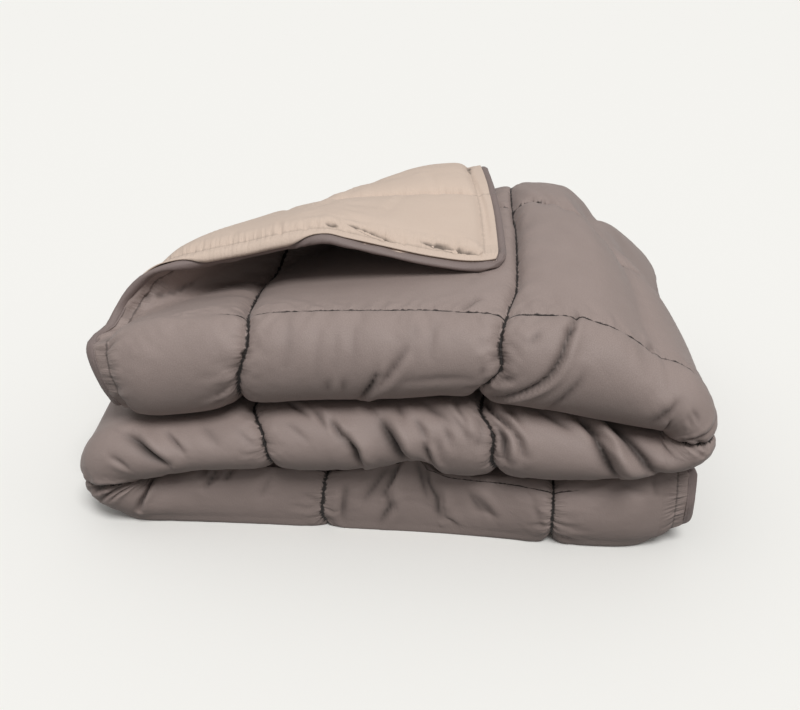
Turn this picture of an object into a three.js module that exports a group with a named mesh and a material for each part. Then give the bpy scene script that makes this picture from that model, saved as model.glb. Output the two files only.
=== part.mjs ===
// A lightweight quilted duvet, folded into a pile, in millimetres with +Z up.
// It is folded in thirds across its width, with the closed fold at the front, and then back and
// forth in three sections along its length. The back left corner of the top layer is rolled over
// to the front, so the paler reverse shows.
// A place on the flat duvet is (u, v): u runs along its length from the free end of the top
// section, v across its width from the free edge of the top layer. side is 1 on the face cloth
// and -1 on the reverse.

import * as THREE from 'three';

// The flat duvet and its sewn lines
const LENGTH = 2000;
const WIDTH = 1400;
const HEM = 22;
const CROSS_SEAMS = [160, 400, 640, 880, 1120, 1360, 1600, 1840];
const LONG_SEAMS = [220, 460, 700, 940, 1180];
const CROSS_SEAM_DEPTH = 13;
const LONG_SEAM_DEPTHS = [8, 5, 9, 9, 9];
const LONG_SEAM_START = 130;
const HEM_DEPTH = 15.5;
const SEAM_REACH = 22;
const HEM_REACH = 35;
const CORNER_RADIUS = 30;

// Edge tape, reverse cloth, the gaps between pieces and between layers, and the least that
// half the thickness may be
const TAPE_WIDTH = 9;
const TAPE_HALF = 3.2;
const PIECE_GAP = 0.3;
const TAPE_GAP = 0.5;
const LAYER_GAP = 1.3;
const REVERSE_THICKNESS = 1.2;
const THINNEST_HALF = 2.8;

// The strip that the thirds make, from its front shoulder to its back fold
const EDGE_Y = 235;
const SHOULDER_Y = -190;
const BACK_Y = 235;
const V_SHOULDER = 460;
const V_UNDER = 580;
const V_BACK = 1005;
const V_INNER = 1060;
const INNER_SHARE = 0.22;
const BACK_REACH = 36;
const TOP_LAYER_COURSE = [
  { v: 0, y: EDGE_Y },
  { v: 100, y: 150 },
  { v: 220, y: 43 },
  { v: 340, y: -74 },
  { v: V_SHOULDER, y: SHOULDER_Y },
];

// The three sections: where each length of the strip lies across the pile
const TURN_RIGHT_X = 252;
const TURN_LEFT_X = -258;
const TURN_RIGHT_REACH = 58;
const TURN_LEFT_REACH = 77;
const TOP_SECTION = [
  { u: 0, x: -303 },
  { u: 160, x: -143 },
  { u: 400, x: 102 },
  { u: 545, x: TURN_RIGHT_X },
];
const MIDDLE_SECTION = [
  { u: 735, x: TURN_RIGHT_X },
  { u: 880, x: 85 },
  { u: 1120, x: -135 },
  { u: 1270, x: TURN_LEFT_X },
];
const BOTTOM_SECTION = [
  { u: 1440, x: TURN_LEFT_X },
  { u: 1600, x: -70 },
  { u: 1840, x: 155 },
  { u: LENGTH, x: 295 },
];

// Heights across the pile: the two creases at the front, the front shoulder and the crown
const HEIGHTS = [
  { x: -340, low: 46, high: 126, shoulder: 200, crown: 188 },
  { x: -303, low: 52, high: 127, shoulder: 210, crown: 194 },
  { x: -260, low: 58, high: 128, shoulder: 222, crown: 200 },
  { x: -200, low: 62, high: 129, shoulder: 236, crown: 208 },
  { x: -143, low: 64, high: 141, shoulder: 243, crown: 219 },
  { x: -70, low: 67, high: 151, shoulder: 247, crown: 238 },
  { x: 0, low: 77, high: 154, shoulder: 250, crown: 258 },
  { x: 30, low: 84, high: 156, shoulder: 251, crown: 266 },
  { x: 70, low: 79, high: 161, shoulder: 251, crown: 277 },
  { x: 100, low: 74, high: 155, shoulder: 252, crown: 284 },
  { x: 155, low: 73, high: 147, shoulder: 252, crown: 291 },
  { x: 200, low: 76, high: 136, shoulder: 243, crown: 289 },
  { x: 232, low: 83, high: 130, shoulder: 226, crown: 275 },
  { x: 255, low: 90, high: 128, shoulder: 209, crown: 252 },
  { x: 280, low: 95, high: 127, shoulder: 192, crown: 230 },
  { x: 305, low: 97, high: 126, shoulder: 178, crown: 215 },
];
const LOW_INSIDE = 74;
const HIGH_INSIDE = [
  { x: -340, z: 128 },
  { x: -303, z: 130 },
  { x: -150, z: 148 },
  { x: 150, z: 150 },
  { x: 305, z: 130 },
];
const INSIDE_Y = -50;
const CROWN_RISE = [
  { y: -190, share: 0 },
  { y: -130, share: 0.4 },
  { y: -50, share: 0.8 },
  { y: 50, share: 1 },
];
// The share of the top section's thickness that is lost towards its back fold
const BACK_FALL = [
  { y: 50, share: 0 },
  { y: 80, share: 0.01 },
  { y: 120, share: 0.05 },
  { y: 160, share: 0.16 },
  { y: 200, share: 0.33 },
  { y: 235, share: 0.46 },
  { y: 275, share: 0.54 },
];
// The right end steps in towards the back
const RIGHT_STEP_IN = [
  { y: -190, shift: 0 },
  { y: -100, shift: 20 },
  { y: 0, shift: 36 },
  { y: 100, shift: 60 },
  { y: 200, shift: 95 },
  { y: 300, shift: 125 },
];
const STEP_IN_FROM = 60;
const STEP_IN_TO = 270;
const STEP_IN_BELOW = 0.35;
const STEP_IN_LOW_Z = 120;
const STEP_IN_HIGH_Z = 220;

// How far the front fold bulges along the length
const FRONT_BULGE = [
  { u: 0, reach: 44 },
  { u: 545, reach: 46 },
  { u: 735, reach: 43 },
  { u: 1270, reach: 43 },
  { u: 1440, reach: 29 },
  { u: 1840, reach: 31 },
  { u: 1920, reach: 26 },
  { u: 1970, reach: 16 },
  { u: LENGTH, reach: 7 },
];

// Seams that are pulled askew where they go over the front
const SEAM_PULL = 80;
const SEAM_DRIFTS = [
  { seam: 160, v: 200, shift: -12 },
  { seam: 160, v: 350, shift: -6 },
  { seam: 160, v: 460, shift: 0 },
  { seam: 160, v: 540, shift: -7 },
  { seam: 160, v: 600, shift: 0 },
  { seam: 400, v: 150, shift: 4 },
  { seam: 400, v: 300, shift: 10 },
  { seam: 400, v: 400, shift: 10 },
  { seam: 400, v: 460, shift: 0 },
  { seam: 400, v: 560, shift: -22 },
  { seam: 400, v: 640, shift: 0 },
  { seam: 880, v: 400, shift: 4 },
  { seam: 880, v: 480, shift: 12 },
  { seam: 880, v: 560, shift: -8 },
  { seam: 880, v: 640, shift: 0 },
  { seam: 1120, v: 480, shift: 0 },
  { seam: 1120, v: 560, shift: -10 },
  { seam: 1120, v: 640, shift: 0 },
];
const END_LEAN = 14;
const END_LEAN_LENGTH = 100;

// The turned back corner: where a sharp fold line would meet the free end and the free edge,
// the radius of its roll, and how far its tip sinks, shifts and swings and its front edge arches
const FOLD_V = 405;
const FOLD_U = 385;
const ROLL_RADIUS = 23.5;
const TIP_SINK = 22;
const TIP_LENGTH = 240;
const TIP_SHIFT = 15;
const BACK_SHIFT = 12;
const TIP_FORWARD = 10;
const SWING_V = 360;
const ARCH_WIDTH = 120;
const ARCH = [
  { v: 0, lift: 0 },
  { v: 60, lift: 1 },
  { v: 120, lift: 12 },
  { v: 170, lift: 21 },
  { v: 220, lift: 20 },
  { v: 300, lift: 12 },
  { v: 360, lift: 2 },
  { v: 420, lift: 0 },
];
const CORNER_HALF = 17.5;
const CORNER_SEAM_SHARE = 0.9;

// The underside is flat where it bears on the surface
const FLAT_BELOW = 3.5;

// The middle of the pile's footprint, which becomes the origin
const PILE_MIDDLE_X = -11.5;
const PILE_MIDDLE_Y = 17;

// Mesh stations past the turned corner: where each stretch ends and how many steps it takes,
// closer at the seams and at the turns
const CORNER_STEPS = 22;
const U_STRETCHES = [
  { to: 525, steps: 2 },
  { to: 735, steps: 8 },
  { to: 850, steps: 2 },
  { to: 910, steps: 2 },
  { to: 1090, steps: 3 },
  { to: 1150, steps: 2 },
  { to: 1250, steps: 2 },
  { to: 1440, steps: 8 },
  { to: 1570, steps: 2 },
  { to: 1630, steps: 2 },
  { to: 1810, steps: 3 },
  { to: 1870, steps: 2 },
  { to: LENGTH - HEM, steps: 3 },
  { to: LENGTH - TAPE_WIDTH - TAPE_GAP, steps: 1 },
];
const V_STRETCHES = [
  { to: V_UNDER, steps: 6 },
  { to: 970, steps: 6 },
  { to: V_INNER, steps: 4 },
  { to: 1180, steps: 3 },
  { to: 1340, steps: 2 },
  { to: WIDTH - TAPE_WIDTH - TAPE_GAP, steps: 1 },
];

const FACE_COLOUR = 0x8a7a74;
const TAPE_COLOUR = 0x736661;
const REVERSE_COLOUR = 0xd1beb0;

function clamp(value, low, high) {
  return Math.min(Math.max(value, low), high);
}

function smoothstep(from, to, value) {
  const t = clamp((value - from) / (to - from), 0, 1);
  return t * t * (3 - 2 * t);
}

// A smooth curve through the rows of a table that never overshoots them
function curve(table, across, up) {
  const xs = table.map((row) => row[across]);
  const ys = table.map((row) => row[up]);
  const gaps = xs.slice(1).map((x, i) => x - xs[i]);
  const slopes = gaps.map((gap, i) => (ys[i + 1] - ys[i]) / gap);
  const tangents = ys.map((_, i) => {
    if (i === 0) return slopes[0];
    if (i === ys.length - 1) return slopes[i - 1];
    if (slopes[i - 1] * slopes[i] <= 0) return 0;
    const before = 2 * gaps[i] + gaps[i - 1];
    const after = gaps[i] + 2 * gaps[i - 1];
    return (before + after) / (before / slopes[i - 1] + after / slopes[i]);
  });
  return (value) => {
    const x = clamp(value, xs[0], xs[xs.length - 1]);
    let k = 0;
    while (k < gaps.length - 1 && x > xs[k + 1]) k += 1;
    const t = (x - xs[k]) / gaps[k];
    const t2 = t * t;
    const t3 = t2 * t;
    return ys[k] * (2 * t3 - 3 * t2 + 1) + tangents[k] * gaps[k] * (t3 - 2 * t2 + t)
      + ys[k + 1] * (3 * t2 - 2 * t3) + tangents[k + 1] * gaps[k] * (t3 - t2);
  };
}

const lowCrease = curve(HEIGHTS, 'x', 'low');
const highCrease = curve(HEIGHTS, 'x', 'high');
const shoulderHeight = curve(HEIGHTS, 'x', 'shoulder');
const crownHeight = curve(HEIGHTS, 'x', 'crown');
const highInside = curve(HIGH_INSIDE, 'x', 'z');
const crownShare = curve(CROWN_RISE, 'y', 'share');
const backFall = curve(BACK_FALL, 'y', 'share');
const rightStepIn = curve(RIGHT_STEP_IN, 'y', 'shift');
const frontBulge = curve(FRONT_BULGE, 'u', 'reach');
const topLayerY = curve(TOP_LAYER_COURSE, 'v', 'y');
const topSectionX = curve(TOP_SECTION, 'u', 'x');
const middleSectionX = curve(MIDDLE_SECTION, 'u', 'x');
const bottomSectionX = curve(BOTTOM_SECTION, 'u', 'x');
const archLift = curve(ARCH, 'v', 'lift');
const seamDrifts = [...new Set(SEAM_DRIFTS.map((row) => row.seam))].map((seam) => ({
  seam,
  shift: curve(SEAM_DRIFTS.filter((row) => row.seam === seam), 'v', 'shift'),
}));

// Height between the bottom and the middle section
function lowerBoundary(x, y) {
  const front = lowCrease(x);
  return front + (LOW_INSIDE - front) * smoothstep(SHOULDER_Y, INSIDE_Y, y);
}

// Height between the middle and the top section
function upperBoundary(x, y) {
  const front = highCrease(x);
  return front + (highInside(x) - front) * smoothstep(SHOULDER_Y, INSIDE_Y, y);
}

// Height of the top of the pile
function topBoundary(x, y) {
  const front = shoulderHeight(x);
  const top = front + (crownHeight(x) - front) * crownShare(y);
  return top - (top - highInside(x)) * backFall(y);
}

// One turn of the strip: a fan about the end of a crease
function turn(centreX, centreZ, reach, height, angle, share) {
  const radius = LAYER_GAP / height + (1 - LAYER_GAP / height) * share;
  return {
    x: centreX + reach * radius * Math.cos(angle),
    z: centreZ + height * radius * Math.sin(angle),
  };
}

// The back and forth fold: n is the share of the strip's thickness, from the side that lies
// under the top section to the side on top of it
function sectionPoint(u, y, n) {
  const topEnd = TOP_SECTION[3].u;
  const middleStart = MIDDLE_SECTION[0].u;
  const middleEnd = MIDDLE_SECTION[3].u;
  const bottomStart = BOTTOM_SECTION[0].u;
  if (u <= topEnd) {
    const x = topSectionX(u);
    const floor = upperBoundary(x, y) + LAYER_GAP;
    return { x, z: floor + n * (topBoundary(x, y) - floor) };
  }
  if (u < middleStart) {
    const angle = Math.PI / 2 - Math.PI * (u - topEnd) / (middleStart - topEnd);
    const centre = upperBoundary(TURN_RIGHT_X, y);
    const above = topBoundary(TURN_RIGHT_X, y) - centre;
    const below = centre - lowerBoundary(TURN_RIGHT_X, y) - LAYER_GAP;
    return turn(TURN_RIGHT_X, centre, TURN_RIGHT_REACH, angle > 0 ? above : below, angle, n);
  }
  if (u <= middleEnd) {
    const x = middleSectionX(u);
    const ceiling = upperBoundary(x, y) - LAYER_GAP;
    return { x, z: ceiling + n * (lowerBoundary(x, y) + LAYER_GAP - ceiling) };
  }
  if (u < bottomStart) {
    const angle = Math.PI / 2 + Math.PI * (u - middleEnd) / (bottomStart - middleEnd);
    const centre = lowerBoundary(TURN_LEFT_X, y);
    const above = upperBoundary(TURN_LEFT_X, y) - LAYER_GAP - centre;
    const height = Math.sin(angle) > 0 ? above : centre;
    return turn(TURN_LEFT_X, centre, TURN_LEFT_REACH, height, angle, 1 - n);
  }
  const x = bottomSectionX(u);
  return { x, z: n * (lowerBoundary(x, y) - LAYER_GAP) };
}

// The fold in thirds: top layer, front fold, bottom layer, back fold, inner layer
function stripPoint(v, side, bulge) {
  if (v <= V_SHOULDER) return { y: topLayerY(v), n: 5 / 6 + side / 6 };
  if (v < V_UNDER) {
    const angle = Math.PI * (v - V_SHOULDER) / (V_UNDER - V_SHOULDER);
    const inner = INNER_SHARE * bulge;
    const reach = (bulge + inner) / 2 + side * (bulge - inner) / 2;
    return {
      y: SHOULDER_Y - reach * Math.sin(angle),
      n: 1 / 2 + (1 / 3 + side / 6) * Math.cos(angle),
    };
  }
  if (v <= V_BACK) {
    const share = (v - V_UNDER) / (V_BACK - V_UNDER);
    return { y: SHOULDER_Y + (BACK_Y - SHOULDER_Y) * share, n: 1 / 6 - side / 6 };
  }
  if (v < V_INNER) {
    const angle = Math.PI * (v - V_BACK) / (V_INNER - V_BACK);
    const reach = BACK_REACH * (1 + side) / 2;
    return { y: BACK_Y + reach * Math.sin(angle), n: 1 / 3 - (1 / 6 + side / 6) * Math.cos(angle) };
  }
  return { y: BACK_Y - (v - V_INNER), n: 1 / 2 + side / 6 };
}

function seamDrift(u, v) {
  let shift = END_LEAN * smoothstep(V_SHOULDER, V_UNDER, v);
  shift *= 1 - smoothstep(0, END_LEAN_LENGTH, u);
  for (const row of seamDrifts) {
    shift += row.shift(v) * Math.exp(-(((u - row.seam) / SEAM_PULL) ** 2));
  }
  return shift;
}

// A point of the unpuckered layer in the pile
function layerPoint(u, v, side) {
  const { y, n } = stripPoint(v, side, frontBulge(u));
  const point = sectionPoint(u, y, n);
  const x = point.x + seamDrift(u, v);
  const heightShare = STEP_IN_BELOW
    + (1 - STEP_IN_BELOW) * smoothstep(STEP_IN_LOW_Z, STEP_IN_HIGH_Z, point.z);
  const stepIn = rightStepIn(y) * heightShare * smoothstep(STEP_IN_FROM, STEP_IN_TO, x);
  return new THREE.Vector3(x - stepIn, y, point.z);
}

// How deep sewing draws the cloth in on each face
function seamDepth(u, v) {
  const channel = (distance, depth) => depth * Math.exp(-((distance / SEAM_REACH) ** 1.3));
  const cross = Math.max(...CROSS_SEAMS.map((seam) => channel(Math.abs(u - seam), CROSS_SEAM_DEPTH)));
  const framed = smoothstep(LONG_SEAM_START - 30, LONG_SEAM_START + 30, u)
    * smoothstep(LONG_SEAM_START - 30, LONG_SEAM_START + 30, LENGTH - u);
  const long = framed
    * Math.max(...LONG_SEAMS.map((seam, i) => channel(Math.abs(v - seam), LONG_SEAM_DEPTHS[i])));
  const inset = Math.min(u, LENGTH - u, v, WIDTH - v);
  const hem = HEM_DEPTH * Math.exp(-((Math.max(inset - HEM + 2, 0) / HEM_REACH) ** 1.2));
  return Math.max(Math.cbrt(cross ** 3 + long ** 3), hem);
}

const SHARP_DISTANCE = FOLD_U * FOLD_V / Math.hypot(FOLD_U, FOLD_V);
const FOLD_NORMAL_U = SHARP_DISTANCE / FOLD_U;
const FOLD_NORMAL_V = SHARP_DISTANCE / FOLD_V;
const ROLL_LENGTH = Math.PI * ROLL_RADIUS;
const TANGENT_DISTANCE = SHARP_DISTANCE + ROLL_LENGTH / 2;

// How far a place lies beyond the line where the corner starts to lift
function beyondFold(u, v) {
  return TANGENT_DISTANCE - u * FOLD_NORMAL_U - v * FOLD_NORMAL_V;
}

// Middle of the cloth, its normal on the face side and the room for half its thickness
function layerFrame(u, v) {
  const face = layerPoint(u, v, 1);
  const back = layerPoint(u, v, -1);
  const normal = face.clone().sub(back);
  const half = normal.length() / 2;
  return { middle: face.add(back).multiplyScalar(0.5), normal: normal.normalize(), half };
}

// The same for the corner that is rolled over
function cornerFrame(u, v) {
  const beyond = beyondFold(u, v);
  const angle = Math.min(beyond / ROLL_RADIUS, Math.PI);
  const past = Math.max(beyond - ROLL_LENGTH, 0);
  const landed = ROLL_RADIUS * Math.sin(angle) - past;
  const swing = smoothstep(0, ROLL_LENGTH, beyond) * (1 - smoothstep(0, SWING_V, v));
  const sideways = swing * (TIP_SHIFT + BACK_SHIFT * smoothstep(0, FOLD_U, u));
  const footU = u + (beyond - landed) * FOLD_NORMAL_U - sideways;
  const footV = v + (beyond - landed) * FOLD_NORMAL_V + swing * TIP_FORWARD;
  const { middle, normal, half } = layerFrame(footU, footV);
  const outward = layerFrame(footU - FOLD_NORMAL_U, footV - FOLD_NORMAL_V).middle
    .sub(layerFrame(footU + FOLD_NORMAL_U, footV + FOLD_NORMAL_V).middle);
  outward.addScaledVector(normal, -outward.dot(normal)).normalize();
  const height = ROLL_RADIUS * (1 - Math.cos(angle)) - TIP_SINK * smoothstep(0, TIP_LENGTH, past)
    + archLift(v) * Math.exp(-((u / ARCH_WIDTH) ** 2));
  const lying = half - LAYER_GAP - seamDepth(u, v);
  const turned = CORNER_HALF - CORNER_SEAM_SHARE * seamDepth(u, v);
  return {
    middle: middle.addScaledVector(normal, height),
    normal: normal.multiplyScalar(Math.cos(angle)).addScaledVector(outward, -Math.sin(angle)),
    half: Math.max(lying + (turned - lying) * smoothstep(0, ROLL_LENGTH, beyond), THINNEST_HALF),
  };
}

// The free corners are cut round
function roundCorner(u, v) {
  const nearU = Math.min(u, LENGTH - u);
  const nearV = Math.min(v, WIDTH - v);
  if (nearU >= CORNER_RADIUS || nearV >= CORNER_RADIUS) return [u, v];
  const a = 1 - nearU / CORNER_RADIUS;
  const b = 1 - nearV / CORNER_RADIUS;
  const newU = CORNER_RADIUS * (1 - a * Math.sqrt(1 - b * b / 2));
  const newV = CORNER_RADIUS * (1 - b * Math.sqrt(1 - a * a / 2));
  return [u < LENGTH / 2 ? newU : LENGTH - newU, v < WIDTH / 2 ? newV : WIDTH - newV];
}

function clothFrame(flatU, flatV) {
  const [u, v] = roundCorner(flatU, flatV);
  const turnedBack = beyondFold(u, v) > 0 && u < LENGTH / 4 && v < WIDTH / 2;
  if (turnedBack) return cornerFrame(u, v);
  const frame = layerFrame(u, v);
  frame.half = Math.max(frame.half - LAYER_GAP - seamDepth(u, v), THINNEST_HALF);
  return frame;
}

// A point at a given height from the middle of the cloth
function clothPoint(u, v, offset) {
  const { middle, normal } = clothFrame(u, v);
  return middle.clone().addScaledVector(normal, offset);
}

function facePoint(u, v, side) {
  const { middle, normal, half } = clothFrame(u, v);
  const point = middle.clone().addScaledVector(normal, side * half);
  if (side > 0 && u > MIDDLE_SECTION[3].u) {
    point.z *= smoothstep(FLAT_BELOW, 3 * FLAT_BELOW, point.z);
  }
  return point;
}

function stations(cornerEnd, stretches) {
  const places = [TAPE_WIDTH + TAPE_GAP];
  let from = 0;
  for (const { to, steps } of [{ to: cornerEnd, steps: CORNER_STEPS }, ...stretches]) {
    for (let i = 1; i <= steps; i += 1) places.push(from + (to - from) * i / steps);
    from = to;
  }
  return places;
}

const U_STATIONS = stations(TANGENT_DISTANCE / FOLD_NORMAL_U, U_STRETCHES);
const V_STATIONS = stations(TANGENT_DISTANCE / FOLD_NORMAL_V, V_STRETCHES);

function solid(points, triangles) {
  const geometry = new THREE.BufferGeometry();
  geometry.setAttribute('position', new THREE.Float32BufferAttribute(points, 3));
  geometry.setIndex(triangles);
  geometry.computeVertexNormals();
  return geometry;
}

function piece(name, geometry, colour, roughness) {
  const material = new THREE.MeshStandardMaterial({ color: colour, roughness, metalness: 0 });
  const mesh = new THREE.Mesh(geometry, material);
  mesh.name = name;
  return mesh;
}

// A closed skin over the cells of the grid that are kept: two faces joined round every free edge
function quiltedSolid(faceAt, keepTriangle) {
  const points = [];
  const triangles = [];
  const numbers = new Map();
  const number = (i, j, face) => {
    const key = `${i},${j},${face}`;
    if (!numbers.has(key)) {
      numbers.set(key, points.length / 3);
      const point = faceAt(U_STATIONS[i], V_STATIONS[j], face);
      points.push(point.x, point.y, point.z);
    }
    return numbers.get(key);
  };
  const edges = new Map();
  const addTriangle = (corners) => {
    triangles.push(...corners.map(([i, j]) => number(i, j, 1)));
    triangles.push(...corners.toReversed().map(([i, j]) => number(i, j, -1)));
    corners.forEach((start, k) => {
      const end = corners[(k + 1) % corners.length];
      const reverse = `${end}-${start}`;
      if (edges.has(reverse)) edges.delete(reverse);
      else edges.set(`${start}-${end}`, [start, end]);
    });
  };
  for (let i = 0; i < U_STATIONS.length - 1; i += 1) {
    for (let j = 0; j < V_STATIONS.length - 1; j += 1) {
      const near = [[i, j], [i, j + 1], [i + 1, j]];
      const far = [[i + 1, j], [i, j + 1], [i + 1, j + 1]];
      if (keepTriangle(near)) addTriangle(near);
      if (keepTriangle(far)) addTriangle(far);
    }
  }
  for (const [start, end] of edges.values()) {
    const a = number(...start, 1);
    const b = number(...end, 1);
    const c = number(...start, -1);
    const d = number(...end, -1);
    triangles.push(b, a, c, b, c, d);
  }
  return solid(points, triangles);
}

// The padded duvet itself
function duvet() {
  return piece('duvet', quiltedSolid(facePoint, () => true), FACE_COLOUR, 0.55);
}

// The reverse cloth, made where the turned back corner shows it
function reversePanel() {
  const faceAt = (u, v, face) => {
    const { half } = clothFrame(u, v);
    const near = half + PIECE_GAP;
    return clothPoint(u, v, face > 0 ? -near : -near - REVERSE_THICKNESS);
  };
  const onCorner = (corners) => corners.every(([i, j]) => i + j < CORNER_STEPS);
  return piece('reverse_panel', quiltedSolid(faceAt, onCorner), REVERSE_COLOUR, 0.8);
}

// The ring of stations at one distance inside the edge of the duvet
function ring(inset) {
  const us = U_STATIONS.slice(1, -1);
  const vs = V_STATIONS.slice(1, -1);
  return [
    ...us.map((u) => [u, inset]),
    [LENGTH - inset, inset],
    ...vs.map((v) => [LENGTH - inset, v]),
    [LENGTH - inset, WIDTH - inset],
    ...us.toReversed().map((u) => [u, WIDTH - inset]),
    [inset, WIDTH - inset],
    ...vs.toReversed().map((v) => [inset, v]),
    [inset, inset],
  ];
}

// The tape round the edge, a closed loop that follows every fold
function edgeTape() {
  const section = [
    { inset: TAPE_WIDTH, offset: -TAPE_HALF },
    { inset: TAPE_WIDTH, offset: TAPE_HALF },
    { inset: TAPE_WIDTH / 4, offset: TAPE_HALF },
    { inset: 0, offset: 0 },
    { inset: TAPE_WIDTH / 4, offset: -TAPE_HALF },
  ];
  const rings = section.map(({ inset, offset }) => ring(inset)
    .map(([u, v]) => clothPoint(u, v, offset)));
  const points = [];
  const triangles = [];
  const stations = rings[0].length;
  for (let k = 0; k < stations; k += 1) {
    for (const row of rings) points.push(row[k].x, row[k].y, row[k].z);
    const next = (k + 1) % stations;
    for (let s = 0; s < section.length; s += 1) {
      const t = (s + 1) % section.length;
      const a = k * section.length + s;
      const b = k * section.length + t;
      const c = next * section.length + s;
      const d = next * section.length + t;
      triangles.push(a, c, b, b, c, d);
    }
  }
  return piece('edge_binding', solid(points, triangles), TAPE_COLOUR, 0.6);
}

const foldedDuvet = new THREE.Group();
foldedDuvet.name = 'folded_duvet';
foldedDuvet.position.set(-PILE_MIDDLE_X, -PILE_MIDDLE_Y, 0);
foldedDuvet.add(duvet(), reversePanel(), edgeTape());

export default foldedDuvet;
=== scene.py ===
"""A light quilted duvet, folded into a pile with one corner rolled back.

The duvet is folded in thirds across its width, with the closed fold at the front, and then back
and forth in three sections along its length. Lengths are in millimetres until a mesh is made.
A place on the flat duvet is (u, v): u runs along its length from the free end of the top section,
v across its width from the free edge of the top layer. Side 1 is the face cloth, side -1 the
reverse.
"""

import math

import bpy
import numpy as np
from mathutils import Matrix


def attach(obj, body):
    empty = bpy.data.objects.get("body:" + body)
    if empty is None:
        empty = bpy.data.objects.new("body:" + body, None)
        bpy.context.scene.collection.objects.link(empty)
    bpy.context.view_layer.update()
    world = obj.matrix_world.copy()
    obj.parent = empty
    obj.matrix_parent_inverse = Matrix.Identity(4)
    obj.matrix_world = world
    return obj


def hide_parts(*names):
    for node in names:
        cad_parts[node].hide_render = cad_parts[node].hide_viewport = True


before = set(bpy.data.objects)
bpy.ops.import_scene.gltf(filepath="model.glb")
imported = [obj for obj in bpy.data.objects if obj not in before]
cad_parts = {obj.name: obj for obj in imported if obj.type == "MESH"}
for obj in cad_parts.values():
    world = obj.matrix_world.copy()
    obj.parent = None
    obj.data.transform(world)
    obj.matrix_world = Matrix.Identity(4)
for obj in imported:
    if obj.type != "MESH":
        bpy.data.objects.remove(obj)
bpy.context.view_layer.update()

MM = 0.001

# The flat duvet and its sewn lines
LENGTH = 2000.0
WIDTH = 1400.0
HEM = 22.0
CROSS_SEAMS = (160.0, 400.0, 640.0, 880.0, 1120.0, 1360.0, 1600.0, 1840.0)
LONG_SEAMS = (220.0, 460.0, 700.0, 940.0, 1180.0)
BOX = 240.0
CORNER_RADIUS = 30.0

# What share of its thickness the cloth loses at each line of sewing, and how far it takes to
# rise again: a broad soft valley and a narrow slit along its middle
CROSS_SEAM_SHARES = (1.0, 1.0, 0.9, 0.95, 0.95, 0.9, 0.9, 1.0)
LONG_SEAM_SHARES = (0.45, 0.2, 0.4, 0.4, 0.4)
LONG_SEAM_START = 130.0
LONG_SEAM_FADE = 30.0
SEAM_REACH = 13.0
SEAM_ROUNDNESS = 1.3
SLIT_ROUNDNESS = 1.15
CROSS_SLIT_SHARE = 0.55
CROSS_SLIT_REACH = 4.0
SEAM_RAGGEDNESS = 1.3
SEAM_STRAY_SIZE = 7.0
LONG_SLIT_SHARE = 0.6
LONG_SLIT_REACH = 3.2
HEM_SHARE = 0.86
HEM_SLIT_SHARE = 0.6
HEM_REACH = 26.0
HEM_SLIT_REACH = 6.0
HEM_ROUNDNESS = 1.3
SEWN_HALF = 2.0
# The first long seam is drawn in more on the turn at the right, and the cross seams are let out
# at the back of the top section
RIGHT_TURN_DRAW = (0.4, 0.0, 0.0, 0.0, 0.0)
RIGHT_TURN_DRAW_U = (440.0, 560.0, 700.0, 760.0)
EASED_BACK = 0.75
EASED_BACK_U = (300.0, 520.0)
EASED_BACK_V = (120.0, 240.0)

# The edge tape and the gaps between layers and pieces
TAPE_WIDTH = 10.5
TAPE_HALF = 3.4
TAPE_CURL_THINNING = 0.6
TAPE_UNEVENNESS = 0.35
TAPE_UNEVENNESS_SIZE = 14.0
TAPE_MARGIN = 2.0
TAPE_OVERLAP = 2.0
CLOTH_EDGE = 6.0
EDGE_HALF = 2.0
LAYER_GAP = 1.3

# The strip that the thirds make, from its front shoulder to its back fold
EDGE_Y = 235.0
SHOULDER_Y = -190.0
BACK_Y = 235.0
V_SHOULDER = 460.0
V_UNDER = 580.0
V_BACK = 1005.0
V_INNER = 1060.0
INNER_SHARE = 0.22
BACK_REACH = 36.0
TOP_LAYER_COURSE = ((0, EDGE_Y), (100, 150), (220, 43), (340, -74), (V_SHOULDER, SHOULDER_Y))

# The three sections: where each length of the strip lies across the pile
TURN_RIGHT_X = 252.0
TURN_LEFT_X = -258.0
TURN_RIGHT_REACH = 58.0
TURN_LEFT_REACH = 77.0
TOP_SECTION = ((0, -303), (160, -143), (400, 102), (545, TURN_RIGHT_X))
MIDDLE_SECTION = ((735, TURN_RIGHT_X), (880, 85), (1120, -135), (1270, TURN_LEFT_X))
BOTTOM_SECTION = ((1440, TURN_LEFT_X), (1600, -70), (1840, 155), (LENGTH, 295))

# Heights across the pile, as (x, height): the two creases at the front, the front shoulder
# and the crown, and the level between the sections further inside
LOW_CREASE = (
    (-340, 36), (-303, 43), (-260, 51), (-200, 66), (-143, 70), (-70, 72), (-30, 76), (0, 85),
    (16, 92), (26, 86), (40, 74), (70, 73), (100, 74), (155, 75), (200, 80), (232, 87),
    (255, 95), (280, 100), (305, 102),
)
HIGH_CREASE = (
    (-340, 116), (-303, 117), (-260, 120), (-200, 127), (-143, 138), (-70, 149), (0, 154),
    (30, 157), (70, 161), (100, 158), (155, 152), (200, 143), (232, 138), (255, 136), (280, 134),
    (305, 132),
)
SHOULDER = (
    (-340, 200), (-303, 210), (-260, 222), (-200, 236), (-143, 243), (-70, 247), (0, 250),
    (30, 251), (70, 251), (100, 252), (155, 252), (200, 243), (232, 226), (255, 209), (280, 192),
    (305, 178),
)
CROWN = (
    (-340, 188), (-303, 194), (-260, 200), (-200, 208), (-143, 219), (-70, 238), (0, 258),
    (30, 267), (70, 281), (100, 289), (155, 292), (200, 289), (232, 271), (255, 242), (280, 216),
    (305, 196),
)
LOW_INSIDE = 74.0
HIGH_INSIDE = ((-340, 128), (-303, 130), (-150, 148), (150, 150), (305, 130))
INSIDE_Y = -50.0
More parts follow.
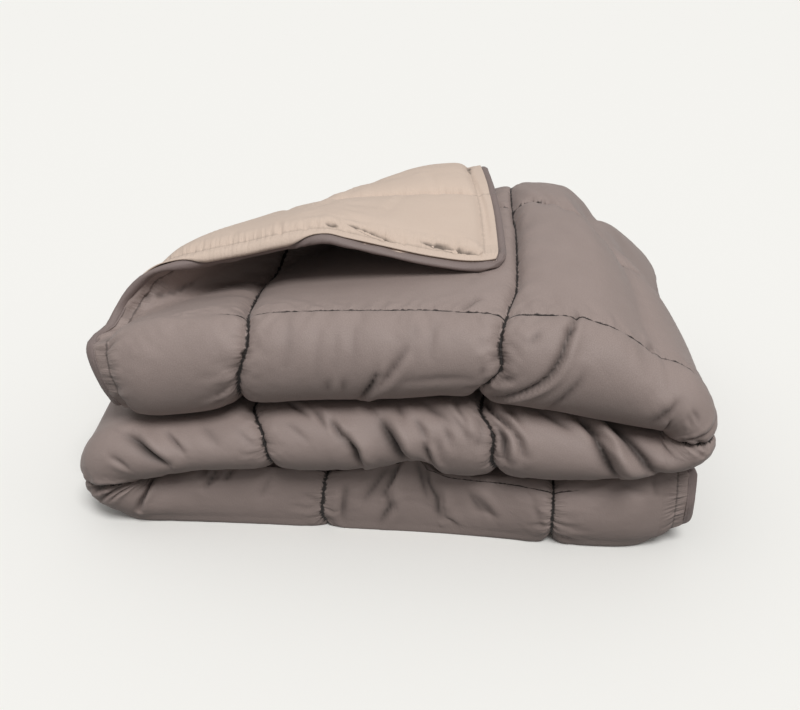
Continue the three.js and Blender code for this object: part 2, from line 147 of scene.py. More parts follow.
CROWN_RISE = ((-190, 0), (-130, 0.4), (-50, 0.8), (50, 1))
BACK_FALL = ((50, 0), (80, 0.01), (120, 0.05), (160, 0.16), (200, 0.33), (235, 0.46), (275, 0.54))

# The right end steps in towards the back, more so in the top section
RIGHT_STEP_IN = (
    (-235, 0), (-190, 7), (-150, 18), (-100, 23), (0, 42), (43, 58), (100, 63), (150, 52), (200, 46),
    (300, 80),
)
STEP_IN_FROM = 60.0
STEP_IN_TO = 270.0
STEP_IN_BELOW = 0.35
STEP_IN_LOW_Z = 120.0
STEP_IN_HIGH_Z = 220.0

# The free end of the bottom section lifts off the surface in a round
END_ROUND = 110.0
END_LIFT = 30.0
END_STEEPNESS = 0.98
END_TOP_Z = 75.0

# How far the front fold bulges along the length, as (u, reach)
FRONT_BULGE = (
    (0, 20), (22, 35), (60, 44), (545, 46), (735, 43), (1270, 43), (1440, 22), (1560, 10), (1700, 7),
    (1790, 15), (1840, 23), (1920, 23), (1970, 15), (LENGTH, 5),
)

# Seams that are pulled askew where they go over the front, as seam: ((v, shift), ...)
SEAM_PULL = 80.0
SEAM_DRIFTS = {
    160: ((200, -12), (290, -11), (340, -15), (430, -9), (490, 0), (530, -9), (565, -12), (610, 0)),
    400: ((150, 4), (300, 10), (400, 10), (450, 0), (500, -6), (517, -4), (556, -26), (640, 0)),
    880: ((400, 4), (480, 12), (510, 7), (535, 8), (550, 3), (570, -6), (590, -5), (640, 0)),
    1120: ((460, 12), (500, 8), (540, 3), (565, -6), (590, -13), (620, -9), (660, 0)),
    1600: ((400, 0), (460, -4), (510, -8), (545, -10), (600, 0)),
}
# How far the long seam at the front strays from its line, as (u, shift)
FRONT_SEAM = 460.0
FRONT_STRAY_REACH = 60.0
FRONT_SEAM_STRAY = ((0, 0), (1680, 0), (1705, 10), (1750, 16), (1790, 20), (1820, 25), (1845, 27))
# How far the long seam at the back strays where it goes over the turn at the right
BACK_SEAM = 220.0
BACK_STRAY_REACH = 80.0
BACK_SEAM_STRAY = (
    (0, 0), (430, 0), (490, 18), (520, 42), (560, 66), (640, 80), (760, 80), (900, 0), (LENGTH, 0),
)
# How the free end of the top section leans inwards below the front and flares out on it
END_LEAN = 14.0
END_LEAN_LENGTH = 100.0
END_FLARE = -8.0
END_FLARE_LENGTH = 75.0
END_FLARE_V = (425.0, 445.0, 480.0, 560.0)

# The turned back corner: where a sharp fold line would meet the free end and the free edge,
# the radius of its roll, and how far its tip sinks, shifts and swings and its front edge arches
FOLD_V = 405.0
FOLD_U = 385.0
ROLL_RADIUS = 23.5
TIP_SINK = 27.0
TIP_LENGTH = 240.0
TIP_SHIFT = 15.0
BACK_SHIFT = 12.0
TIP_FORWARD = 10.0
SWING_V = 360.0
ARCH_WIDTH = 120.0
ARCH = (
    (0, 0), (30, 1), (65, 7), (115, 19), (150, 27), (168, 31), (185, 30), (215, 24), (250, 16),
    (290, 11), (340, 7), (420, 2),
)
CORNER_HALF = 17.5
CORNER_SEAM_SHARE = 0.9
# The curl of its front edge: its width, radius and angle, the step that it is measured by, and
# where it comes in, across the width and past the roll
CURL_WIDTH = 13.5
CURL_RADIUS = 3.0
CURL_ANGLE = 2.5
CURL_STEP = 2.0
CURL_V = (162.0, 205.0)
CURL_BEYOND = (70.0, 110.0)

LEAST = 1e-6
# Below this height the underside is pressed flat. These places come to stand at the middle
FLAT_BELOW = 3.5
PILE_MIDDLE_X = -11.5
PILE_MIDDLE_Y = 17.0


def smoothstep(start, end, value):
    """0 before start, 1 after end and smooth between them."""
    t = np.clip((value - start) / (end - start), 0.0, 1.0)
    return t * t * (3.0 - 2.0 * t)


def curve(points):
    """A smooth curve through the points of a table that never overshoots them."""
    xs, ys = np.array(points, float).T
    gaps = np.diff(xs)
    slopes = np.diff(ys) / gaps
    tangents = np.zeros_like(ys)
    tangents[0] = slopes[0]
    tangents[-1] = slopes[-1]
    for i in range(1, len(xs) - 1):
        if slopes[i - 1] * slopes[i] > 0:
            before = 2 * gaps[i] + gaps[i - 1]
            after = gaps[i] + 2 * gaps[i - 1]
            tangents[i] = (before + after) / (before / slopes[i - 1] + after / slopes[i])

    def height_at(value):
        x = np.clip(value, xs[0], xs[-1])
        k = np.clip(np.searchsorted(xs, x, side="right") - 1, 0, len(gaps) - 1)
        t = (x - xs[k]) / gaps[k]
        return (
            ys[k] * (2 * t**3 - 3 * t**2 + 1)
            + tangents[k] * gaps[k] * (t**3 - 2 * t**2 + t)
            + ys[k + 1] * (3 * t**2 - 2 * t**3)
            + tangents[k + 1] * gaps[k] * (t**3 - t**2)
        )

    return height_at


top_layer_y = curve(TOP_LAYER_COURSE)
top_section_x = curve(TOP_SECTION)
middle_section_x = curve(MIDDLE_SECTION)
bottom_section_x = curve(BOTTOM_SECTION)
low_crease = curve(LOW_CREASE)
high_crease = curve(HIGH_CREASE)
shoulder_height = curve(SHOULDER)
crown_height = curve(CROWN)
high_inside = curve(HIGH_INSIDE)
crown_share = curve(CROWN_RISE)
back_fall = curve(BACK_FALL)
right_step_in = curve(RIGHT_STEP_IN)
front_bulge = curve(FRONT_BULGE)
arch_lift = curve(ARCH)
front_seam_stray = curve(FRONT_SEAM_STRAY)
back_seam_stray = curve(BACK_SEAM_STRAY)
seam_shifts = {seam: curve(course) for seam, course in SEAM_DRIFTS.items()}


def inside_share(y):
    """0 at the front shoulder and 1 well inside the pile."""
    return smoothstep(SHOULDER_Y, INSIDE_Y, y)


def lower_boundary(x, y):
    """Height between the bottom and the middle section."""
    front = low_crease(x)
    return front + (LOW_INSIDE - front) * inside_share(y)


def upper_boundary(x, y):
    """Height between the middle and the top section."""
    front = high_crease(x)
    return front + (high_inside(x) - front) * inside_share(y)


def top_boundary(x, y):
    """Height of the top of the pile."""
    front = shoulder_height(x)
    top = front + (crown_height(x) - front) * crown_share(y)
    return top - (top - high_inside(x)) * back_fall(y)


def fan(centre_x, centre_z, reach, height, angle, share):
    """One turn of the strip about the end of a crease."""
    radius = LAYER_GAP / height + (1 - LAYER_GAP / height) * share
    return centre_x + reach * radius * np.cos(angle), centre_z + height * radius * np.sin(angle)


def section_place(u, y, share):
    """The back and forth fold: share is that of the strip's thickness, from the side that lies
    under the top section to the side on top of it."""
    top_end = TOP_SECTION[-1][0]
    middle_start = MIDDLE_SECTION[0][0]
    middle_end = MIDDLE_SECTION[-1][0]
    bottom_start = BOTTOM_SECTION[0][0]

    x_top = top_section_x(u)
    floor = upper_boundary(x_top, y) + LAYER_GAP
    z_top = floor + share * (top_boundary(x_top, y) - floor)

    angle = math.pi / 2 - math.pi * (u - top_end) / (middle_start - top_end)
    centre = upper_boundary(TURN_RIGHT_X, y)
    above = top_boundary(TURN_RIGHT_X, y) - centre
    below = centre - lower_boundary(TURN_RIGHT_X, y) - LAYER_GAP
    height = np.where(angle > 0, above, below)
    x_right, z_right = fan(TURN_RIGHT_X, centre, TURN_RIGHT_REACH, height, angle, share)

    x_middle = middle_section_x(u)
    ceiling = upper_boundary(x_middle, y) - LAYER_GAP
    z_middle = ceiling + share * (lower_boundary(x_middle, y) + LAYER_GAP - ceiling)

    angle = math.pi / 2 + math.pi * (u - middle_end) / (bottom_start - middle_end)
    centre = lower_boundary(TURN_LEFT_X, y)
    above = upper_boundary(TURN_LEFT_X, y) - LAYER_GAP - centre
    height = np.where(np.sin(angle) > 0, above, centre)
    x_left, z_left = fan(TURN_LEFT_X, centre, TURN_LEFT_REACH, height, angle, 1 - share)

    x_bottom = bottom_section_x(u)
    z_bottom = share * (lower_boundary(x_bottom, y) - LAYER_GAP)

    courses = [u <= top_end, u < middle_start, u <= middle_end, u < bottom_start]
    x = np.select(courses, [x_top, x_right, x_middle, x_left], x_bottom)
    z = np.select(courses, [z_top, z_right, z_middle, z_left], z_bottom)
    return x, z


def strip_place(v, side, bulge):
    """The fold in thirds: top layer, front fold, bottom layer, back fold, inner layer."""
    front_angle = math.pi * np.clip((v - V_SHOULDER) / (V_UNDER - V_SHOULDER), 0, 1)
    front_reach = bulge * ((1 + INNER_SHARE) / 2 + side * (1 - INNER_SHARE) / 2)
    back_angle = math.pi * np.clip((v - V_BACK) / (V_INNER - V_BACK), 0, 1)
    back_reach = BACK_REACH * (1 + side) / 2
    courses = [v <= V_SHOULDER, v < V_UNDER, v <= V_BACK, v < V_INNER]
    y = np.select(
        courses,
        [
            top_layer_y(v),
            SHOULDER_Y - front_reach * np.sin(front_angle),
            SHOULDER_Y + (BACK_Y - SHOULDER_Y) * (v - V_UNDER) / (V_BACK - V_UNDER),
            BACK_Y + back_reach * np.sin(back_angle),
        ],
        BACK_Y - (v - V_INNER),
    )
    share = np.select(
        courses,
        [
            5 / 6 + side / 6 + 0 * v,
            1 / 2 + (1 / 3 + side / 6) * np.cos(front_angle),
            1 / 6 - side / 6 + 0 * v,
            1 / 3 - (1 / 6 + side / 6) * np.cos(back_angle),
        ],
        1 / 2 + side / 6,
    )
    return y, share


def plateau(rise, full, fall, end, value):
    """0 outside of rise and end, 1 from full to fall and smooth between them."""
    return smoothstep(rise, full, value) * (1 - smoothstep(fall, end, value))


def soft_peak(distance, reach, roundness=2):
    """1 on a line and less away from it, by the time of reach about a third."""
    return np.exp(-((distance / reach) ** roundness))


def seam_drift(u, v):
    """How far seams are pulled along the length where they go over the front."""
    shift = END_LEAN * smoothstep(V_SHOULDER, V_UNDER, v) * (1 - smoothstep(0, END_LEAN_LENGTH, u))
    shift = shift + END_FLARE * plateau(*END_FLARE_V, v) * (1 - smoothstep(0, END_FLARE_LENGTH, u))
    for seam, shift_at in seam_shifts.items():
        shift = shift + shift_at(v) * soft_peak(u - seam, SEAM_PULL)
    return shift


def layer_point(u, v, side):
    """A point of the plain layer in the pile, before any sewing draws it in."""
    y, share = strip_place(v, side, front_bulge(u))
    x, z = section_place(u, y, share)
    x = x + seam_drift(u, v)
    height_share = STEP_IN_BELOW + (1 - STEP_IN_BELOW) * smoothstep(STEP_IN_LOW_Z, STEP_IN_HIGH_Z, z)
    x = x - right_step_in(y) * height_share * smoothstep(STEP_IN_FROM, STEP_IN_TO, x)
    near_end = np.clip((u - LENGTH + END_ROUND) / END_ROUND, 0, 1)
    lift = END_LIFT * (1 - np.sqrt(1 - END_STEEPNESS * near_end**2))
    z = z + lift * np.clip(1 - z / END_TOP_Z, 0, 1)
    return np.stack([x, y, z], -1)


def unit(vectors):
    return vectors / np.maximum(np.linalg.norm(vectors, axis=-1, keepdims=True), 1e-9)


def layer_frame(u, v):
    """Middle of the cloth, its normal on the face side and half the room that it has."""
    face = layer_point(u, v, 1)
    back = layer_point(u, v, -1)
    across = face - back
    return (face + back) / 2, unit(across), np.linalg.norm(across, axis=-1) / 2


def soft_noise(u, v, size, seed):
    """Seeded unevenness from -1 to 1 whose lumps are about size across."""
    lattice = np.random.default_rng(seed).uniform(-1, 1, (64, 64))
    a, b = u / size, v / size
    i, j = np.floor(a).astype(int), np.floor(b).astype(int)
    s, t = smoothstep(0, 1, a - i), smoothstep(0, 1, b - j)

    def corner(di, dj):
        return lattice[(i + di) % 64, (j + dj) % 64]

    low = corner(0, 0) * (1 - s) + corner(1, 0) * s
    high = corner(0, 1) * (1 - s) + corner(1, 1) * s
    return low * (1 - t) + high * t


def end_inset(u):
    """How far a place lies from the nearer end of the duvet."""
    return np.minimum(u, LENGTH - u)


def edge_inset(u, v):
    """How far a place lies inside the edge of the duvet."""
    return np.minimum(end_inset(u), np.minimum(v, WIDTH - v))


def channel(distance, slit_share, slit_reach):
    """Share of a seam's depth at a distance from its line."""
    valley = soft_peak(distance, SEAM_REACH, SEAM_ROUNDNESS)
    slit = soft_peak(distance, slit_reach, SLIT_ROUNDNESS)
    return valley + (slit - valley) * slit_share


def end_frame(u):
    """0 in the plain border boxes at both ends, where no long seam is sewn, and 1 elsewhere."""
    return smoothstep(LONG_SEAM_START - LONG_SEAM_FADE, LONG_SEAM_START + LONG_SEAM_FADE, end_inset(u))


def sewn_v(u, v):
    """The width place with the straying of two seams taken out, so that they lie on their lines."""
    front = front_seam_stray(u) * soft_peak(v - FRONT_SEAM, FRONT_STRAY_REACH)
    back_stray = back_seam_stray(u)
    return v - front - back_stray * soft_peak(v - BACK_SEAM - back_stray, BACK_STRAY_REACH)


def sewn_share(u, v):
    """Share of the cloth's thickness that sewing takes."""
    eased = (1 - smoothstep(*EASED_BACK_V, v)) * (u > EASED_BACK_U[0]) * (u < EASED_BACK_U[1])
    stray = SEAM_RAGGEDNESS * soft_noise(v, u // BOX, SEAM_STRAY_SIZE, 3)
    crossing = [
        (1 - EASED_BACK * eased)
        * share
        * channel(np.abs(u - seam - stray), CROSS_SLIT_SHARE, CROSS_SLIT_REACH)
        for seam, share in zip(CROSS_SEAMS, CROSS_SEAM_SHARES)
    ]
    at_turn = plateau(*RIGHT_TURN_DRAW_U, u)
    running = [
        (share + draw * at_turn) * channel(np.abs(sewn_v(u, v) - seam), LONG_SLIT_SHARE, LONG_SLIT_REACH)
        for seam, share, draw in zip(LONG_SEAMS, LONG_SEAM_SHARES, RIGHT_TURN_DRAW)
    ]
    kept = (1 - np.max(crossing, 0)) * (1 - end_frame(u) * np.max(running, 0))
    beyond_hem = np.maximum(edge_inset(u, v) - HEM, 0)
    soft = soft_peak(beyond_hem, HEM_REACH, HEM_ROUNDNESS)
    steep = soft_peak(beyond_hem, HEM_SLIT_REACH, HEM_ROUNDNESS)
    hem = HEM_SHARE * (soft + (steep - soft) * HEM_SLIT_SHARE)
    return 1 - kept * (1 - hem)


def sewn_half(half, share):
    """Half of the thickness that is left of half where sewing takes a share of it."""
    return SEWN_HALF + np.maximum(half - SEWN_HALF, 0) * (1 - share)


# From the sharp corner of the duvet to the fold line, and to the line where the roll starts
SHARP_DISTANCE = FOLD_U * FOLD_V / math.hypot(FOLD_U, FOLD_V)
FOLD_NORMAL_U = SHARP_DISTANCE / FOLD_U
FOLD_NORMAL_V = SHARP_DISTANCE / FOLD_V
ROLL_LENGTH = math.pi * ROLL_RADIUS
TANGENT_DISTANCE = SHARP_DISTANCE + ROLL_LENGTH / 2


def beyond_fold(u, v):
    """How far a place lies beyond the line where the corner starts to lift."""
    return TANGENT_DISTANCE - u * FOLD_NORMAL_U - v * FOLD_NORMAL_V


def in_turned_quarter(u, v):
    """Whether a place is in the quarter of the duvet whose corner is rolled over."""
    return (u < LENGTH / 4) & (v < WIDTH / 2)


def corner_frame(u, v):
    """Middle, normal and half thickness on the corner that is rolled over."""
    beyond = beyond_fold(u, v)
    angle = np.minimum(beyond / ROLL_RADIUS, math.pi)
    past = np.maximum(beyond - ROLL_LENGTH, 0)
    landed = ROLL_RADIUS * np.sin(angle) - past
    swing = smoothstep(0, ROLL_LENGTH, beyond) * (1 - smoothstep(0, SWING_V, v))
    sideways = swing * (TIP_SHIFT + BACK_SHIFT * smoothstep(0, FOLD_U, u))
    foot_u = u + (beyond - landed) * FOLD_NORMAL_U - sideways
    foot_v = v + (beyond - landed) * FOLD_NORMAL_V + swing * TIP_FORWARD
    middle, normal, half = layer_frame(foot_u, foot_v)
    ahead = layer_frame(foot_u - FOLD_NORMAL_U, foot_v - FOLD_NORMAL_V)[0]
    behind = layer_frame(foot_u + FOLD_NORMAL_U, foot_v + FOLD_NORMAL_V)[0]
    outward = ahead - behind
    outward = unit(outward - np.sum(outward * normal, -1, keepdims=True) * normal)
    height = ROLL_RADIUS * (1 - np.cos(angle)) - TIP_SINK * smoothstep(0, TIP_LENGTH, past)
    height = height + arch_lift(v) * soft_peak(u, ARCH_WIDTH)
    middle = middle + normal * height[..., None]
    turned = normal * np.cos(angle)[..., None] - outward * np.sin(angle)[..., None]
    share = sewn_share(u, v)
    lying = sewn_half(half - LAYER_GAP, share)
    rolled = sewn_half(CORNER_HALF, CORNER_SEAM_SHARE * share)
    return middle, turned, lying + (rolled - lying) * smoothstep(0, ROLL_LENGTH, beyond)


def edge_curl(u, v):
    """How far the front edge of the rolled corner is curled under, from 0 to 1."""
    past_roll = smoothstep(*CURL_BEYOND, beyond_fold(u, v))
    return in_turned_quarter(u, v) * smoothstep(*CURL_V, v) * past_roll


def curled_corner_frame(u, v):
    """The rolled corner, with the front edge of its left part curled under."""
    middle, normal, half = corner_frame(u, v)
    inset = CURL_WIDTH - np.minimum(u, CURL_WIDTH)
    curled = edge_curl(u, v)
    rolled = np.maximum(np.minimum(inset, CURL_ANGLE * CURL_RADIUS), LEAST)
    angle = np.maximum(curled * rolled / CURL_RADIUS, LEAST)
    radius = rolled / angle
    beyond = np.maximum(inset - rolled, 0)
    start, start_normal, _ = corner_frame(u + inset, v)
    outward = unit(start - corner_frame(u + inset + CURL_STEP, v)[0])
    out = radius * np.sin(angle) + beyond * np.cos(angle)
    down = radius * (1 - np.cos(angle)) + beyond * np.sin(angle)
    bent = start + outward * out[..., None] + start_normal * down[..., None]
    tilted = start_normal * np.cos(angle)[..., None] - outward * np.sin(angle)[..., None]
    share = (curled * (inset > 0))[..., None]
    return middle + (bent - middle) * share, unit(normal + (tilted - normal) * share), half


def round_corner(u, v):
    """The free corners are cut round."""
    a = np.clip(1 - end_inset(u) / CORNER_RADIUS, 0, 1)
    b = np.clip(1 - np.minimum(v, WIDTH - v) / CORNER_RADIUS, 0, 1)
    at_corner = (a > 0) & (b > 0)
    new_u = CORNER_RADIUS * (1 - a * np.sqrt(1 - b * b / 2))
    new_v = CORNER_RADIUS * (1 - b * np.sqrt(1 - a * a / 2))
    new_u = np.where(u < LENGTH / 2, new_u, LENGTH - new_u)
    new_v = np.where(v < WIDTH / 2, new_v, WIDTH - new_v)
    return np.where(at_corner, new_u, u), np.where(at_corner, new_v, v)


def cloth_frame(flat_u, flat_v):
    """Middle, normal and half thickness of the quilted cloth anywhere in the pile."""
    u, v = round_corner(flat_u, flat_v)
    middle, normal, half = layer_frame(u, v)
    half = sewn_half(half - LAYER_GAP, sewn_share(u, v))
    turned = (beyond_fold(u, v) > 0) & in_turned_quarter(u, v)
    if turned.any():
        bent = curled_corner_frame(u[turned], v[turned])
        middle[turned], normal[turned], half[turned] = bent
    return middle, normal, half


# The finest pitch of the nets, and how fast it may grow away from the ends of a stretch
FINE = 1.4
PITCH_GROWTH = 0.22


def graded(start, stretches, fine):
    """Places from start through each (end, pitch) of stretches, closer together at every end."""
    places = [np.array([start])]
    for end, pitch in stretches:
        sample = np.linspace(start, end, 600)
        near = np.minimum(sample - start, end - sample)
        spacing = np.minimum(fine + PITCH_GROWTH * near, pitch)
        steps_so_far = np.concatenate([[0], np.cumsum(np.diff(sample) / spacing[1:])])
        count = max(1, math.ceil(steps_so_far[-1]))
        wanted = np.linspace(0, steps_so_far[-1], count + 1)[1:]
        places.append(np.interp(wanted, steps_so_far, sample))
        start = end
    return np.concatenate(places)


# The quilting as it is simulated, flat, before it is folded
PATCH_PITCH = 5.0
PATCH_WIDTH = 610.0
PATCH_TOP_LENGTH = 760.0
PATCH_FRONT_V = 420.0
PATCH_ROUGHNESS = 0.2
PATCH_FRAMES = 22
PATCH_CLOTH = {
    "quality": 5,
    "mass": 0.15,
    "tension_stiffness": 15,
    "compression_stiffness": 15,
    "shear_stiffness": 5,
    "bending_stiffness": 0.05,
    "uniform_pressure_force": 4.0,
    "shrink_min": -0.022,
}
PUCKER_BLUR = 4
PUCKER_REACH = 40.0
PUCKER_GAIN = 1.7
PUCKER_MOST = 2.4
PUCKER_FADE = 34.0
PUCKER_LEAST_SHARE = 0.05
PUCKERS_FAR_OFF = 0.15


def blurred(heights, reach, axis):
    """Heights averaged along one axis over a soft window of reach stations each way."""
    taps = np.exp(-0.5 * (np.arange(-2 * reach, 2 * reach + 1) / reach) ** 2)
    taps = taps / taps.sum()
    pad = [(0, 0), (0, 0)]
    pad[axis] = (2 * reach, 2 * reach)
    padded = np.pad(heights, pad, mode="edge")
    places = np.arange(heights.shape[axis])
    return sum(tap * np.take(padded, places + k, axis) for k, tap in enumerate(taps))


def to_nearest_seam(place, seams):
    """Distance to the nearest of some seams."""
    return np.min([np.abs(place - seam) for seam in seams], 0)


def sewn_patch_heights(u, v):
    """Simulates the face cloth, longer than its sewn lines and blown up by the filling. Returns
    which of the places are in the patch, and the height of the cloth there."""
    near = PATCH_PITCH / 2 + 0.1
    sewn = to_nearest_seam(u, CROSS_SEAMS) < near
    framed = (u > LONG_SEAM_START) & (u < LENGTH - LONG_SEAM_START)
    sewn |= framed & (to_nearest_seam(v, LONG_SEAMS) < near)
    sewn |= (np.minimum(end_inset(u), v) < HEM) | (v > PATCH_WIDTH - near)
    shown = (u < PATCH_TOP_LENGTH) | (v > PATCH_FRONT_V)
    sewn |= (u > PATCH_TOP_LENGTH) & (v < PATCH_FRONT_V + 2 * PATCH_PITCH)
    start = np.where(sewn, 0, np.random.default_rng(11).normal(0, PATCH_ROUGHNESS, u.shape))
    number = np.cumsum(shown.ravel()).reshape(shown.shape) - 1
    cells = shown[:-1, :-1] & shown[1:, :-1] & shown[1:, 1:] & shown[:-1, 1:]
    corners = [number[:-1, :-1], number[1:, :-1], number[1:, 1:], number[:-1, 1:]]
    quads = np.stack([corner[cells] for corner in corners], -1)
    mesh = bpy.data.meshes.new("sewn_patch")
    flat = np.stack([u, v, start], -1)[shown] * MM
    mesh.from_pydata(flat.tolist(), [], quads.tolist())
    patch = bpy.data.objects.new("sewn_patch", mesh)
    bpy.context.scene.collection.objects.link(patch)
    held = patch.vertex_groups.new(name="sewn")
    held.add(np.flatnonzero(sewn[shown]).tolist(), 1.0, "REPLACE")
    cloth = patch.modifiers.new("cloth", "CLOTH").settings
    cloth.vertex_group_mass = "sewn"
    cloth.use_pressure = True
    cloth.effector_weights.gravity = 0
    for setting, value in PATCH_CLOTH.items():
        setattr(cloth, setting, value)
    for number_of_frame in range(1, PATCH_FRAMES + 1):
        bpy.context.scene.frame_set(number_of_frame)
    shaped = patch.evaluated_get(bpy.context.evaluated_depsgraph_get())
    places = np.empty(len(mesh.vertices) * 3)
    shaped.data.vertices.foreach_get("co", places)
    heights = np.zeros(u.shape)
    heights[shown] = places.reshape(-1, 3)[:, 2] / MM
    bpy.context.scene.frame_set(1)
    bpy.data.objects.remove(patch)
    bpy.data.meshes.remove(mesh)
    return shown, heights


def sewn_puckers():
    """A function that gives the height of the puckers at places on the flat duvet."""
    us = np.arange(0, LENGTH + PATCH_PITCH / 2, PATCH_PITCH)
    vs = np.arange(0, PATCH_WIDTH + PATCH_PITCH / 2, PATCH_PITCH)
    u, v = np.meshgrid(us, vs, indexing="ij")
    shown, heights = sewn_patch_heights(u, v)
    to_cross = to_nearest_seam(u, CROSS_SEAMS)
    to_long = to_nearest_seam(v, LONG_SEAMS)
    by_cross = soft_peak(to_cross, PUCKER_REACH) + PUCKER_LEAST_SHARE
    by_long = soft_peak(to_long, PUCKER_REACH) + PUCKER_LEAST_SHARE
    across = heights - blurred(heights, PUCKER_BLUR, 1)
    along = heights - blurred(heights, PUCKER_BLUR, 0)
    puckers = (by_cross * across + by_long * along) / (by_cross + by_long)
    fade = soft_peak(np.minimum(to_cross, to_long), PUCKER_FADE)
    puckers *= PUCKERS_FAR_OFF + (1 - PUCKERS_FAR_OFF) * fade
    puckers = PUCKER_MOST * np.tanh(PUCKER_GAIN * puckers / PUCKER_MOST)
    puckers[~shown] = 0

    def height_at(at_u, at_v):
        a = np.clip(at_u / PATCH_PITCH, 0, len(us) - 1.001)
        b = np.clip(at_v / PATCH_PITCH, 0, len(vs) - 1.001)
        i, j = a.astype(int), b.astype(int)
        s, t = a - i, b - j
        low = puckers[i, j] * (1 - s) + puckers[i + 1, j] * s
        high = puckers[i, j + 1] * (1 - s) + puckers[i + 1, j + 1] * s
        return (low * (1 - t) + high * t) * (at_v < PATCH_WIDTH)

    return height_at


pucker_height = sewn_puckers()


